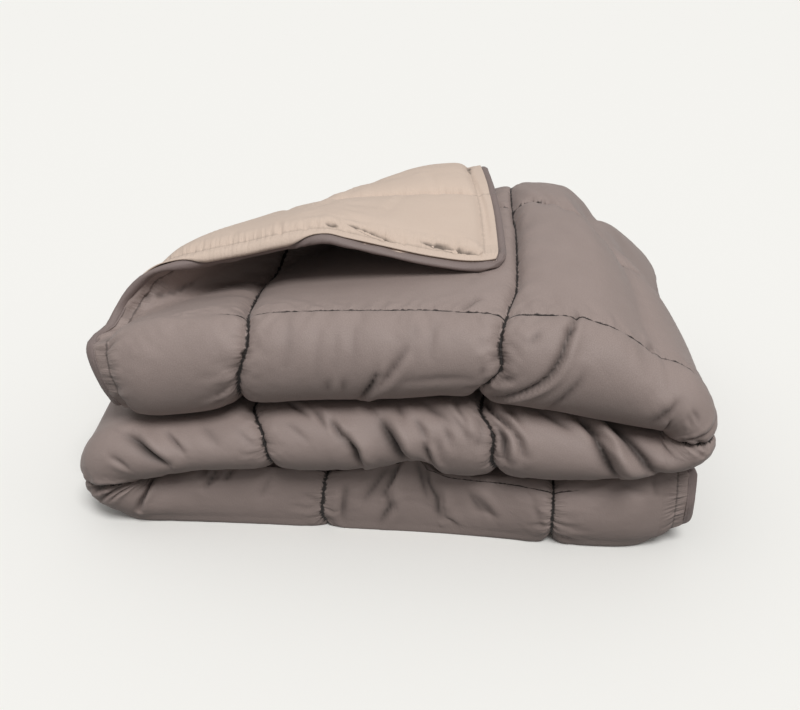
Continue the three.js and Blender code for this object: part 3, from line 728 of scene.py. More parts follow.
# Creases listed where the cloth is drawn or pushed, on the flat duvet: how deep, how wide,
# which side its lip stands on and how much, and its course as (u, v)
CREASES = (
    # Front of the top section
    (6.5, 3.8, -0.9, ((285, 523), (280, 537), (270, 558))),
    (4.0, 5, -0.9, ((312, 502), (300, 518), (290, 532), (277, 552))),
    (3.0, 3.5, 0.4, ((358, 457), (373, 437))),
    (1.5, 4, 0.5, ((355, 413), (367, 395))),
    (2.2, 4, -0.8, ((382, 516), (386, 528))),
    (2.2, 5, 0.8, ((403, 499), (397, 507), (389, 513))),
    (4.0, 4, 0.4, ((403, 531), (414, 525))),
    (2.0, 4, 0.5, ((256, 527), (253, 546))),
    (2.0, 4, -0.5, ((243, 528), (240, 545))),
    (1.6, 6, 0.4, ((312, 530), (342, 528), (378, 528))),
    (0.9, 7, 0.5, ((228, 484), (233, 528))),
    (0.8, 7, 0.5, ((246, 482), (249, 526))),
    (0.9, 7, 0.5, ((262, 480), (264, 524))),
    (1.2, 7, -0.5, ((319, 480), (321, 514))),
    (1.2, 7, -0.5, ((338, 478), (335, 512))),
    (1.3, 8, 0.5, ((200, 470), (204, 520))),
    (2.5, 4, 0.6, ((150, 545), (135, 549))),
    (2.5, 4, -0.6, ((150, 535), (138, 541))),
    # Right box of the top section
    (7.0, 3.8, -0.8, ((466, 456), (460, 478), (452, 503), (437, 525), (414, 556))),
    (3.0, 4, 0.6, ((463, 478), (456, 483))),
    (2.5, 4, 0.5, ((433, 484), (425, 496))),
    (3.2, 4.5, 0.8, ((470, 512), (463, 527), (455, 554))),
    (3.0, 3.5, -0.5, ((540, 447), (533, 464))),
    (3.5, 5, 0.8, ((554, 510), (543, 523), (533, 542))),
    (3.5, 4, 0.6, ((552, 532), (547, 550))),
    (2.2, 4, 0.7, ((582, 510), (600, 512))),
    (2.0, 4, 0.7, ((579, 518), (597, 520))),
    (3.2, 4, 0.6, ((618, 484), (622, 508), (620, 537))),
    (3.0, 4, 0.7, ((621, 540), (640, 531), (662, 508))),
    (2.8, 4, 0.7, ((624, 524), (650, 502))),
    # Front of the middle section
    (9.0, 7, -0.9, ((1280, 554), (1262, 539), (1248, 527), (1233, 514))),
    (4.0, 4, -0.5, ((1236, 556), (1222, 542), (1211, 529))),
    (3.5, 4, -0.6, ((1082, 582), (1063, 559))),
    (4.0, 4, -0.6, ((1055, 568), (1045, 547))),
    (1.6, 5, -0.5, ((1089, 553), (1065, 533))),
    (1.5, 6, -0.5, ((1146, 551), (1127, 527))),
    (5.0, 5, -0.8, ((1040, 555), (1024, 533))),
    (9.0, 6, -0.9, ((1022, 536), (1012, 521), (1007, 497))),
    (11.0, 7.5, -1.0, ((984, 552), (970, 522), (961, 493))),
    (5.5, 5, -0.7, ((942, 524), (936, 497))),
    (3.5, 6, -0.8, ((950, 552), (940, 528))),
    (3.0, 5, -0.8, ((923, 546), (918, 526))),
    (3.0, 6, -0.8, ((911, 556), (902, 529))),
    (4.0, 3.5, 0.5, ((904, 577), (902, 548))),
    (3.0, 6, -0.6, ((966, 574), (961, 550))),
    (3.5, 7, -0.7, ((936, 573), (917, 551))),
    (3.0, 6, -0.7, ((931, 536), (926, 507))),
    (2.5, 6, 0.6, ((886, 557), (896, 524))),
    (8.0, 5, -0.8, ((872, 549), (867, 513))),
    (6.0, 5, -0.8, ((865, 562), (852, 522))),
    (6.5, 4, -0.7, ((877, 592), (863, 551))),
    (3.0, 5, -0.6, ((854, 576), (849, 551))),
    (4.0, 7, -0.7, ((829, 576), (808, 555))),
    (6.0, 6, 0.7, ((799, 574), (790, 563), (780, 550))),
    (10.0, 6.5, -0.8, ((795, 572), (786, 545), (776, 515), (770, 500))),
    (3.5, 5, -0.6, ((780, 558), (774, 541))),
    (11.0, 7.5, 0.9, ((777, 585), (764, 558), (752, 532), (742, 503))),
    (2.5, 9, -0.6, ((737, 562), (705, 540))),
    (2.0, 9, 0.5, ((1190, 560), (1170, 535))),
    # Turn at the left
    (6.0, 6, 0.6, ((1330, 490), (1346, 500), (1363, 533), (1372, 558))),
    (5.0, 4, -0.6, ((1363, 497), (1375, 518), (1388, 547))),
    (4.5, 4, -0.6, ((1371, 490), (1380, 509), (1391, 532))),
    (4.0, 4, -0.6, ((1360, 522), (1374, 547))),
    (3.0, 5, 0.6, ((1300, 535), (1285, 515))),
    # Front of the bottom section
    (8.5, 5, -0.8, ((1441, 466), (1436, 488), (1428, 512), (1427, 534))),
    (5.0, 4, 0.6, ((1489, 462), (1488, 489))),
    (5.5, 4, 0.6, ((1500, 464), (1490, 504))),
    (4.5, 4, 0.6, ((1514, 464), (1507, 493))),
    (3.0, 4, 0.6, ((1505, 470), (1498, 494))),
    (2.0, 7, 0.5, ((1550, 480), (1540, 520))),
    (8.0, 5.5, -0.8, ((1672, 464), (1666, 492), (1659, 514))),
    (6.5, 5, -0.7, ((1661, 512), (1666, 532), (1656, 556))),
    (5.0, 7, 0.8, ((1660, 470), (1640, 520))),
    (6.0, 4.5, 0.6, ((1621, 500), (1620, 552))),
    (2.0, 6, 0.5, ((1641, 482), (1629, 508))),
    (8.5, 6, -0.8, ((1700, 462), (1703, 490), (1712, 508), (1715, 540))),
    (5.0, 6, -0.7, ((1690, 470), (1701, 516))),
    (4.5, 6, -0.6, ((1754, 502), (1774, 530))),
    (3.5, 6, -0.6, ((1746, 496), (1760, 522))),
    (3.0, 5, -0.5, ((1723, 537), (1735, 552))),
    (2.0, 7, -0.5, ((1818, 500), (1829, 536))),
    (2.0, 4, 0.5, ((1948, 478), (1954, 502))),
    (2.0, 8, 0.5, ((1914, 480), (1940, 494))),
    # Where the end of the top section tucks in under the rolled corner
    (4.5, 5, 0.7, ((20, 392), (28, 378), (42, 373), (54, 362), (68, 336))),
)
# Slits, whose insides are darkened with painted shade, and gathers in the hem of the reverse, in the
# same terms
REVERSE_SLITS = (
    (3.0, 2.6, 0.4, ((27, 170), (26, 158))),
    (3.2, 2.6, 0.4, ((31, 150), (26, 128), (22, 106))),
    (3.2, 2.6, 0.4, ((27, 80), (25, 54), (22, 28))),
    (3.2, 2.6, 0.4, ((282, 20), (246, 23), (236, 22))),
)
REVERSE_GATHERS = (
    (1.6, 2.5, 0.6, ((236, 22), (202, 22), (138, 18), (54, 17))),
    (2.2, 2.0, 0.6, ((36, 69), (20, 67))),
    (2.2, 2.0, 0.6, ((38, 49), (19, 48))),
    (2.0, 2.0, 0.6, ((30, 28), (16, 26))),
    (1.8, 2.2, 0.6, ((36, 98), (18, 95))),
    (1.8, 2.2, 0.6, ((32, 118), (16, 116))),
    (1.8, 2.2, 0.6, ((36, 190), (18, 187))),
    (1.8, 2.4, 0.6, ((40, 215), (18, 210))),
    (2.0, 2.4, 0.6, ((44, 262), (12, 266))),
    (1.6, 2.4, 0.6, ((40, 300), (16, 306))),
    (1.6, 5.0, 0.6, ((60, 120), (150, 96))),
    (1.4, 6.0, 0.5, ((70, 190), (190, 150))),
    (1.2, 6.0, 0.5, ((120, 60), (230, 70))),
)
CREASE_DEPTH = 1.3
CREASE_STEEPNESS = 0.66
CREASE_ROUNDNESS = 1.1
CREASE_LIP_PLACE = 1.5
CREASE_LIP_WIDTH = 1.15
CREASE_LIP_HEIGHT = 0.6
CREASE_END = 0.06
CREASE_END_ROUNDNESS = 0.7
CREASE_SPREAD = 4.5


def crease_relief(creases, u, v):
    """Soft troughs with a raised lip, which run out at both ends."""
    relief = np.zeros_like(u)
    for depth, width, lean, course in creases:
        places = np.array(course, float)
        spread = CREASE_SPREAD * width
        low, high = places.min(0) - spread, places.max(0) + spread
        near = (u > low[0]) & (u < high[0]) & (v > low[1]) & (v < high[1])
        if not near.any():
            continue
        at = np.stack([u[near], v[near]], -1)
        lengths = np.linalg.norm(np.diff(places, axis=0), axis=1)
        starts = np.concatenate([[0], np.cumsum(lengths)[:-1]])
        nearest = np.full(len(at), np.inf)
        beside = np.zeros(len(at))
        along = np.zeros(len(at))
        for first, last, length, start in zip(places, places[1:], lengths, starts):
            course_unit = (last - first) / length
            step = (at - first) @ course_unit
            share = np.clip(step, 0, length)
            away = at - first - share[:, None] * course_unit
            distance = np.linalg.norm(away, axis=1)
            across = away @ np.array([-course_unit[1], course_unit[0]])
            closer = distance < nearest
            nearest = np.where(closer, distance, nearest)
            beside = np.where(closer, np.copysign(distance, across), beside)
            along = np.where(closer, start + share, along)
        gone = CREASE_END + (1 - 2 * CREASE_END) * along / lengths.sum()
        run_out = np.sin(math.pi * np.clip(gone, 0, 1)) ** CREASE_END_ROUNDNESS
        trough = -soft_peak(np.abs(beside), CREASE_STEEPNESS * width, CREASE_ROUNDNESS)
        from_lip = beside - np.sign(lean) * CREASE_LIP_PLACE * width
        lip = abs(lean) * CREASE_LIP_HEIGHT * soft_peak(from_lip, CREASE_LIP_WIDTH * width)
        relief[near] += CREASE_DEPTH * depth * run_out * (trough + lip)
    return relief


GATHER_SIZE = 6.5
GATHER_HEIGHT = 3.4
GATHER_REACH = 13.0
GATHER_LEAN = 0.35
GATHER_CHANGE = 3.5
GATHER_V = (200.0, 260.0, 570.0, 640.0)
FAR_GATHERS = 0.3
UNEVENNESS = 0.9
UNEVENNESS_SIZE = 90.0
# Where puckers and creases lose a share of their height as they near the underside of the front
# fold, and where the top of the covered sections does
PUCKERS_FADE_V = (545.0, 585.0)
PUCKER_LOSS = 0.75
CREASES_FADE_V = (580.0, 602.0)
CREASE_LOSS = 0.5
UNDER_PILE_V = (500.0, 530.0)
UNDER_PILE_LOSS = 0.6
LEAST_HALF = 1.2
PANEL_ROOM = 2.5
ROOM_BEFORE_ROLL = 60.0
# The crease depth at which the painted shade is darkest, and the share of a gather's height that counts
# towards it
PAINTED_SHADE_DEPTH = 7.0
GATHER_PAINTED_SHADE_SHARE = 0.8


def gathers(u, v):
    """Short pleats across the hem seam at both ends, where the cloth is gathered into it."""
    inset = end_inset(u)
    strength = soft_peak(inset - HEM, GATHER_REACH) * plateau(*GATHER_V, v)
    strength = strength * np.where(u < LENGTH / 2, 1.0, FAR_GATHERS)
    leaning = v + GATHER_LEAN * (inset - HEM)
    side_of_seam = 0 * u + GATHER_CHANGE * (inset > HEM)
    return GATHER_HEIGHT * strength * soft_noise(leaning, side_of_seam, GATHER_SIZE, 31)


def face_relief(u, v):
    """What stands proud of, or falls below, the plain puffed face."""
    puckers = pucker_height(u, sewn_v(u, v)) * (1 - PUCKER_LOSS * smoothstep(*PUCKERS_FADE_V, v))
    below = (u > TOP_SECTION[-1][0]) * (1 - smoothstep(*UNDER_PILE_V, v))
    puckers = puckers * (1 - UNDER_PILE_LOSS * below)
    folds = crease_relief(CREASES, u, v) * (1 - CREASE_LOSS * smoothstep(*CREASES_FADE_V, v))
    return puckers + UNEVENNESS * soft_noise(u, v, UNEVENNESS_SIZE, 5) + folds + gathers(u, v)


def cloth_surface(u, v, side):
    """Points of one face of the quilted duvet."""
    middle, normal, half = cloth_frame(u, v)
    inset = edge_inset(u, v)
    under_tape = 1 - smoothstep(CLOTH_EDGE, TAPE_WIDTH + TAPE_MARGIN, inset)
    if side > 0:
        half = np.maximum(half + face_relief(u, v) * (1 - under_tape), LEAST_HALF)
    else:
        under_panel = (beyond_fold(u, v) > -ROOM_BEFORE_ROLL) & (v < FOLD_V) & (inset > TAPE_WIDTH)
        half = half - PANEL_ROOM * under_panel
    half = half + (EDGE_HALF - half) * under_tape
    points = middle + normal * (side * half)[..., None]
    if side > 0:
        z = points[..., 2]
        lowest = z * smoothstep(FLAT_BELOW, 3 * FLAT_BELOW, z)
        points[..., 2] = np.where(u > MIDDLE_SECTION[-1][0], lowest, z)
    return points


def painted_crease_shade(u, v):
    """Painted shade: from 0 on the open face to 1 in the depth of a crease or of a gather, where the
    colour is darkened to stand in for the shade there.
    """
    depth = -crease_relief(CREASES, u, v) - GATHER_PAINTED_SHADE_SHARE * gathers(u, v)
    return np.clip(depth / PAINTED_SHADE_DEPTH, 0, 1)


class Skin:
    """Points and faces of one closed piece, with the place of each point on the flat duvet and the
    painted shade at it.
    """

    def __init__(self):
        self.points = []
        self.places = []
        self.painted_shades = []
        self.faces = []
        self.finishes = []
        self.count = 0

    def add_points(self, points, u, v, painted_shades=None):
        self.points.append(points.reshape(-1, 3))
        self.painted_shades.append(np.zeros(u.size) if painted_shades is None else painted_shades.ravel())
        self.places.append(np.stack([u.ravel(), sewn_v(u, v).ravel()], -1))
        numbers = np.arange(self.count, self.count + u.size).reshape(u.shape)
        self.count += u.size
        return numbers

    def add_faces(self, faces, finish):
        self.faces.extend(faces)
        self.finishes.extend([finish] * len(faces))

    def grid(self, us, vs, side, finish):
        """A net of points on one face of the cloth, closed with four-sided faces."""
        u, v = np.meshgrid(us, vs, indexing="ij")
        painted_shades = painted_crease_shade(u, v) if side > 0 else None
        numbers = self.add_points(cloth_surface(u, v, side), u, v, painted_shades)
        self.join(numbers, side, finish)
        return numbers

    def join(self, numbers, side, finish):
        corners = [numbers[:-1, :-1], numbers[:-1, 1:], numbers[1:, 1:], numbers[1:, :-1]]
        if side < 0:
            corners.reverse()
        quads = np.stack([corner.ravel() for corner in corners], -1)
        self.add_faces(quads.tolist(), finish)

    def zip_rows(self, first, first_at, second, second_at, finish, flip=False):
        """Triangles between two rows of points that run the same way at their own places."""
        i, j = 0, 0
        triangles = []
        while i < len(first) - 1 or j < len(second) - 1:
            step_first = j == len(second) - 1 or (
                i < len(first) - 1 and first_at[i + 1] <= second_at[j + 1]
            )
            if step_first:
                triangle = [first[i], second[j], first[i + 1]]
                i += 1
            else:
                triangle = [first[i], second[j], second[j + 1]]
                j += 1
            triangles.append([int(k) for k in (reversed(triangle) if flip else triangle)])
        self.add_faces(triangles, finish)

    def make(self, name, finishes):
        """The finished object, with its flat places as the map named cloth, in metres, and the painted
        shade of its points as an attribute.
        """
        points = np.concatenate(self.points)
        points = (points - (PILE_MIDDLE_X, PILE_MIDDLE_Y, 0)) * MM
        places = np.concatenate(self.places) * MM
        mesh = bpy.data.meshes.new(name)
        mesh.from_pydata(points.tolist(), [], self.faces)
        corners = np.empty(len(mesh.loops), int)
        mesh.loops.foreach_get("vertex_index", corners)
        mesh.uv_layers.new(name="cloth").uv.foreach_set("vector", places[corners].ravel())
        # Painted shade of creases, gathers and slits, which darkens the colour in the material
        sunk = mesh.attributes.new("sunk", "FLOAT", "POINT")
        sunk.data.foreach_set("value", np.concatenate(self.painted_shades))
        for finish in finishes:
            mesh.materials.append(finish)
        mesh.polygons.foreach_set("material_index", self.finishes)
        mesh.polygons.foreach_set("use_smooth", [True] * len(mesh.polygons))
        mesh.update()
        piece = bpy.data.objects.new(name, mesh)
        bpy.context.scene.collection.objects.link(piece)
        return piece


def banded_face(skin, bands, side, finish):
    """One face of the duvet in bands across its width, each with its own stations along the
    length, and the closed row of points round its edge."""
    nets = [skin.grid(us, vs, side, finish) for us, vs in bands]
    for (us, _), (next_us, _), net, following in zip(bands, bands[1:], nets, nets[1:]):
        skin.zip_rows(net[:, -1], us, following[:, 0], next_us, finish, flip=side < 0)
    first_us, last_us = bands[0][0], bands[-1][0]
    vs = np.concatenate([vs for _, vs in bands])
    ends = np.concatenate([net[-1, :] for net in nets])
    starts = np.concatenate([net[0, :] for net in nets])
    rows = [
        (nets[0][:, 0], first_us),
        (ends, LENGTH + vs),
        (nets[-1][::-1, -1], LENGTH + WIDTH + (LENGTH - last_us[::-1])),
        (starts[::-1], 2 * LENGTH + WIDTH + (WIDTH - vs[::-1])),
    ]
    numbers = np.concatenate([row for row, _ in rows] + [rows[0][0][:1]])
    along = np.concatenate([at for _, at in rows] + [[2 * (LENGTH + WIDTH) + first_us[0]]])
    return numbers, along


EDGE_END = LENGTH - CLOTH_EDGE
FAR_EDGE = WIDTH - CLOTH_EDGE
FRONT_NET_V = 443.0
FRONT_NET_END = 602.0
UNDER_NET_V = 606.0


def face_bands():
    """Stations of the face: fine where it shows, coarse between the layers."""
    seams = [(HEM, 2.6), (160, 6.5), (400, 6.5), (640, 6.5)]
    far = [(735, 4.6), (1440, 24), (LENGTH - HEM, 30), (EDGE_END, 6)]
    top_us = graded(CLOTH_EDGE, seams + far, FINE)
    pitches = [(HEM, 2.6)] + [(seam, 2.7) for seam in CROSS_SEAMS]
    front_us = graded(CLOTH_EDGE, pitches + [(LENGTH - HEM, 2.7), (EDGE_END, 2.6)], FINE)
    under_us = graded(CLOTH_EDGE, [(HEM, 8), (1440, 14), (LENGTH - HEM, 14), (EDGE_END, 8)], 6)
    top_vs = graded(CLOTH_EDGE, [(HEM, 3), (220, 7.5), (440, 7.5)], FINE)
    front_vs = graded(FRONT_NET_V, [(460, 2.5), (FRONT_NET_END, 2.5)], FINE)
    under = [(V_BACK - 5, 22), (V_INNER + 6, 4), (WIDTH - HEM, 16), (FAR_EDGE, 6)]
    under_vs = graded(UNDER_NET_V, under, 5)
    return [(top_us, top_vs), (front_us, front_vs), (under_us, under_vs)]


def reverse_bands():
    """Stations of the reverse, which lies between the layers nearly everywhere."""
    us = graded(CLOTH_EDGE, [(HEM, 8), (480, 12), (1440, 18), (LENGTH - HEM, 26), (EDGE_END, 8)], 6)
    vs = graded(CLOTH_EDGE, [(HEM, 8), (V_UNDER, 14), (V_BACK, 26), (WIDTH - HEM, 20), (FAR_EDGE, 8)], 6)
    return [(us, vs)]


def make_duvet(face_cloth, reverse_cloth):
    """The quilted duvet: its face, its reverse and the strip that closes them under the tape."""
    skin = Skin()
    face_edge, face_along = banded_face(skin, face_bands(), 1, 0)
    reverse_edge, reverse_along = banded_face(skin, reverse_bands(), -1, 1)
    skin.zip_rows(face_edge, face_along, reverse_edge, reverse_along, 0, flip=True)
    return skin.make("quilted_duvet", [face_cloth, reverse_cloth])


PANEL_THICKNESS = 1.2
PANEL_UNDER = 45.0
PANEL_CLEARANCE = 0.3
PANEL_PUCKERS = 0.5
PANEL_UNEVENNESS = 0.8
PANEL_UNEVENNESS_SIZE = 60.0
PANEL_HEM_FADE = 10.0
# Slit depths over which the painted shade inside a slit goes from none to full
SLIT_PAINTED_SHADE_FROM = 0.8
SLIT_PAINTED_SHADE_TO = 2.0


def panel_surface(u, v, depth):
    """The reverse cloth on the rolled corner, depth below its outer side."""
    middle, normal, half = cloth_frame(u, v)
    relief = PANEL_PUCKERS * pucker_height(v, u)
    relief = relief + PANEL_UNEVENNESS * soft_noise(u, v, PANEL_UNEVENNESS_SIZE, 8)
    relief = relief * smoothstep(TAPE_WIDTH, HEM + PANEL_HEM_FADE, np.minimum(u, v))
    relief = relief + crease_relief(REVERSE_SLITS + REVERSE_GATHERS, u, v)
    out = np.maximum(half + PANEL_CLEARANCE + relief, 2 * LEAST_HALF) - depth
    return middle - normal * out[..., None]


def make_reverse_panel(reverse_cloth):
    """The reverse cloth of the rolled corner, with the size and the area of its flat triangle."""
    skin = Skin()
    reach_u = (TANGENT_DISTANCE + PANEL_UNDER) / FOLD_NORMAL_U
    reach_v = (TANGENT_DISTANCE + PANEL_UNDER) / FOLD_NORMAL_V
    start = TAPE_WIDTH - TAPE_OVERLAP
    us = graded(start, [(HEM, 1.8), (HEM + 14, 1.8), (160, 5), (400, 5), (reach_u, 6)], FINE)
    vs = graded(start, [(HEM, 1.8), (HEM + 14, 2.4), (220, 3.4), (reach_v, 5)], FINE)
    u, v = np.meshgrid(us, vs, indexing="ij")
    # Painted shade inside the slits, darker where they are deeper
    slit_depth = -crease_relief(REVERSE_SLITS, u, v)
    slit_painted_shade = np.clip((slit_depth - SLIT_PAINTED_SHADE_FROM) / (SLIT_PAINTED_SHADE_TO - SLIT_PAINTED_SHADE_FROM), 0, 1)
    outer = skin.add_points(panel_surface(u, v, 0.0), u, v, slit_painted_shade)
    inner = skin.add_points(panel_surface(u, v, PANEL_THICKNESS), u, v)
    middle_u = (u[:-1, :-1] + u[1:, 1:]) / 2
    middle_v = (v[:-1, :-1] + v[1:, 1:]) / 2
    kept = beyond_fold(middle_u, middle_v) > -PANEL_UNDER
    edges = {}
    for i, j in zip(*np.nonzero(kept)):
        cell = [(i, j), (i + 1, j), (i + 1, j + 1), (i, j + 1)]
        skin.add_faces([[int(outer[c]) for c in cell]], 0)
        skin.add_faces([[int(inner[c]) for c in reversed(cell)]], 0)
        for a, b in zip(cell, cell[1:] + cell[:1]):
            if (b, a) in edges:
                del edges[(b, a)]
            else:
                edges[(a, b)] = True
    walls = [[int(outer[b]), int(outer[a]), int(inner[a]), int(inner[b])] for a, b in edges]
    skin.add_faces(walls, 0)
    cell_areas = np.outer(np.diff(us), np.diff(vs))[kept]
    size = ((us[-1] - us[0]) * MM, (vs[-1] - vs[0]) * MM)
    return skin.make("reverse_cloth_corner", [reverse_cloth]), size, cell_areas.sum() * MM**2


# Half of the tape's section, as (inset, height above the middle) from its sewn edge outwards
TAPE_SECTION = (
    (TAPE_WIDTH, 2.4), (TAPE_WIDTH - 0.5, 3.1), (TAPE_WIDTH - 1.6, 3.2), (TAPE_WIDTH - 2.3, 2.7),
    (TAPE_WIDTH - 3.0, 3.3), (5.2, TAPE_HALF), (2.8, 3.1), (1.2, 2.3), (0.3, 1.1), (0.0, 0.0),
)


def perimeter():
    """Places round the outer edge of the duvet."""
    us = graded(0.0, [(40, 2.5), (735, 4), (LENGTH - 40, 5), (LENGTH, 2.5)], 2.5)[:-1]
    vs = graded(0.0, [(40, 2.5), (640, 4), (WIDTH - 40, 8), (WIDTH, 2.5)], 2.5)[:-1]
    u = np.concatenate([us, LENGTH + 0 * vs, LENGTH - us, 0 * vs])
    v = np.concatenate([0 * us, vs, WIDTH + 0 * us, WIDTH - vs])
    return u, v


def make_edge_tape(tape_cloth):
    """The tape: a closed loop round the whole edge, folded over it."""
    skin = Skin()
    upper = list(TAPE_SECTION)
    lower = [(inset, -height) for inset, height in reversed(TAPE_SECTION[:-1])]
    edge_u, edge_v = perimeter()
    sewn_at_u = np.clip(edge_u, TAPE_WIDTH, LENGTH - TAPE_WIDTH)
    sewn_at_v = np.clip(edge_v, TAPE_WIDTH, WIDTH - TAPE_WIDTH)
    rings = []
    for inset, height in upper + lower:
        share = inset / TAPE_WIDTH
        u, v = edge_u + (sewn_at_u - edge_u) * share, edge_v + (sewn_at_v - edge_v) * share
        middle, normal, _ = cloth_frame(u, v)
        wave = TAPE_UNEVENNESS * soft_noise(u + v, 0 * u, TAPE_UNEVENNESS_SIZE, 21)
        thinned = 1 - TAPE_CURL_THINNING * edge_curl(u, v) * (height > 0)
        points = middle + normal * (height * thinned * (1 + wave))[..., None]
        rings.append(skin.add_points(points, u, v))
    numbers = np.array(rings + rings[:1])
    numbers = np.concatenate([numbers, numbers[:, :1]], 1)
    skin.join(numbers, 1, 0)
    return skin.make("edge_tape", [tape_cloth])


class Shade:
    """One socket of a set of nodes, which numbers and other sockets can be reckoned with."""

    def __init__(self, nodes, socket):
        self.nodes = nodes
        self.socket = socket

    def reckon(self, operation, *terms):
        return self.nodes.node("ShaderNodeMath", {"operation": operation}, dict(enumerate(terms)))

    def __add__(self, other):
        return self.reckon("ADD", self, other)

    def __radd__(self, other):
        return self.reckon("ADD", other, self)

    def __sub__(self, other):
        return self.reckon("SUBTRACT", self, other)

    def __rsub__(self, other):
        return self.reckon("SUBTRACT", other, self)

    def __mul__(self, other):
        return self.reckon("MULTIPLY", self, other)

    def __rmul__(self, other):
        return self.reckon("MULTIPLY", other, self)

    def __truediv__(self, other):
        return self.reckon("DIVIDE", self, other)

    def __pow__(self, other):
        return self.reckon("POWER", self, other)

    def size(self):
        return self.reckon("ABSOLUTE", self)

    def to_nearest(self, period):
        """Distance to the nearest multiple of a period."""
        return self.reckon("PINGPONG", self, period / 2)

    def clipped(self):
        """The same value held between 0 and 1."""
        return self.smaller(1).larger(0)

    def smaller(self, other):
        return self.reckon("MINIMUM", self, other)

    def larger(self, other):
        return self.reckon("MAXIMUM", self, other)


class Nodes:
    """A set of nodes, all made in one way."""

    def __init__(self, tree):
        self.tree = tree

    def node(self, kind, settings=None, inputs=None, output=0):
        """One output of a new node. A ramp's stops are (place, grey) and count as a setting."""
        made = self.tree.nodes.new(kind)
        for name, value in (settings or {}).items():
            if name == "stops":
                self.set_stops(made.color_ramp.elements, value)
            else:
                setattr(made, name, value)
        for name, value in (inputs or {}).items():
            if isinstance(value, Shade):
                self.tree.links.new(value.socket, made.inputs[name])
            else:
                made.inputs[name].default_value = value
        return Shade(self, made.outputs[output])

    def set_stops(self, elements, stops):
        for place, _ in stops[1:-1]:
            elements.new(place)
        for element, (place, grey) in zip(elements, stops):
            element.position = place
            element.color = (grey, grey, grey, 1)

    def surface(self, shader, links):
        """Links shades to the sockets of the shader with this name."""
        for socket, shade in links.items():
            self.tree.links.new(shade.socket, self.tree.nodes[shader].inputs[socket])


class Finish(Nodes):
    """A material with its constant values."""

    def __init__(self, name, constants):
        self.material = bpy.data.materials.new(name)
        self.material.use_nodes = True
        super().__init__(self.material.node_tree)
        for socket, value in constants.items():
            self.tree.nodes["Principled BSDF"].inputs[socket].default_value = value

    def mix_colours(self, share, first, second):
        settings = {"data_type": "RGBA"}
        return self.node("ShaderNodeMix", settings, {0: share, 6: first, 7: second}, 2)

    def noise(self, place, scale, detail=2.0):
        inputs = {"Vector": place, "Scale": scale, "Detail": detail}
        return self.node("ShaderNodeTexNoise", {}, inputs)


def colour(red, green, blue):
    """A colour of 0 to 255 as the shader wants it."""
    shares = [value / 255 for value in (red, green, blue)]
    return tuple(((s + 0.055) / 1.055) ** 2.4 if s > 0.04045 else s / 12.92 for s in shares) + (1.0,)


def place_on_cloth(finish):
    """The place on the flat duvet in metres: as a vector, along its length, across its width."""
    flat = finish.node("ShaderNodeUVMap", {"uv_map": "cloth"})
    along = finish.node("ShaderNodeSeparateXYZ", {}, {0: flat}, 0)
    across = finish.node("ShaderNodeSeparateXYZ", {}, {0: flat}, 1)
    return flat, along, across


def stretched_noise(finish, along, across, detail=2.0):
    """Noise whose lumps are as long and as wide as its two places are scaled."""
    place = finish.node("ShaderNodeCombineXYZ", {}, {0: along, 1: across})
    return finish.noise(place, 1.0, detail)


def near_line(distance, width):
    """1 on a line and 0 beyond a width from it."""
    return (1 - distance / width).clipped()


def darkened(tone, share):
    """A share of a colour."""
    return tuple(share * part for part in tone[:3]) + (1.0,)


# Lengths in metres on the cloth, scales of noise for each metre. A sewn line is drawn dark, partly as
# its thread and partly as painted shade in its slit, and shows wider over the front fold and at the back
# of the top layer
LINE_LEAST = 0.0006
LINE_RAGGED = 0.0028
RAGGED_SCALE = 190.0
RAGGED_FROM = 0.34
RAGGED_GAIN = 2.8
FRONT_LINE_V = 0.535
FRONT_LINE_REACH = 0.085
FRONT_LINE_GAIN = 0.5
BACK_LINE_V = 0.34
BACK_LINE_FADE = 20.0
BACK_LINE_GAIN = 1.0
LONG_LINE_SHARE = 0.8
LONG_LINE_FADE = 60.0
LINE_GAIN = 1.8
THREAD_AND_SLIT_SHADE = 0.07
# How strongly the painted shade of creases, gathers and slits darkens the colour, and the share of the
# dark tone that it goes down to
PAINTED_SHADE_SHARE = 0.9
PAINTED_SHADE_TONE = 0.2

MOTTLE_SCALE = 30.0
MOTTLE_SHARE = 0.5
GRAIN_SCALE = 1100.0
GRAIN_SHARE = 2.2
TONE_OFFSET = 0.85

# Heights in the bump, how far they reach from their line, and how dense they are along the
# length and across the width
CROSS_PUCKERS = 1.5
CROSS_PUCKER_REACH = 0.022
LONG_PUCKERS = 1.44
LONG_PUCKER_REACH = 0.016
ALONG_SEAM = 26.0
ACROSS_SEAM = 210.0
HEM_GATHERS = 2.6
HEM_GATHER_REACH = 0.017
HEM_GATHER_GRAIN = (30.0, 150.0)
THREADS = 0.16
THREAD_GRAIN = (1500.0, 300.0)
SLUBS = 0.2
SLUB_SCALE = 120.0
BUMP_STRENGTH = 0.7
BUMP_DISTANCE = 0.0025


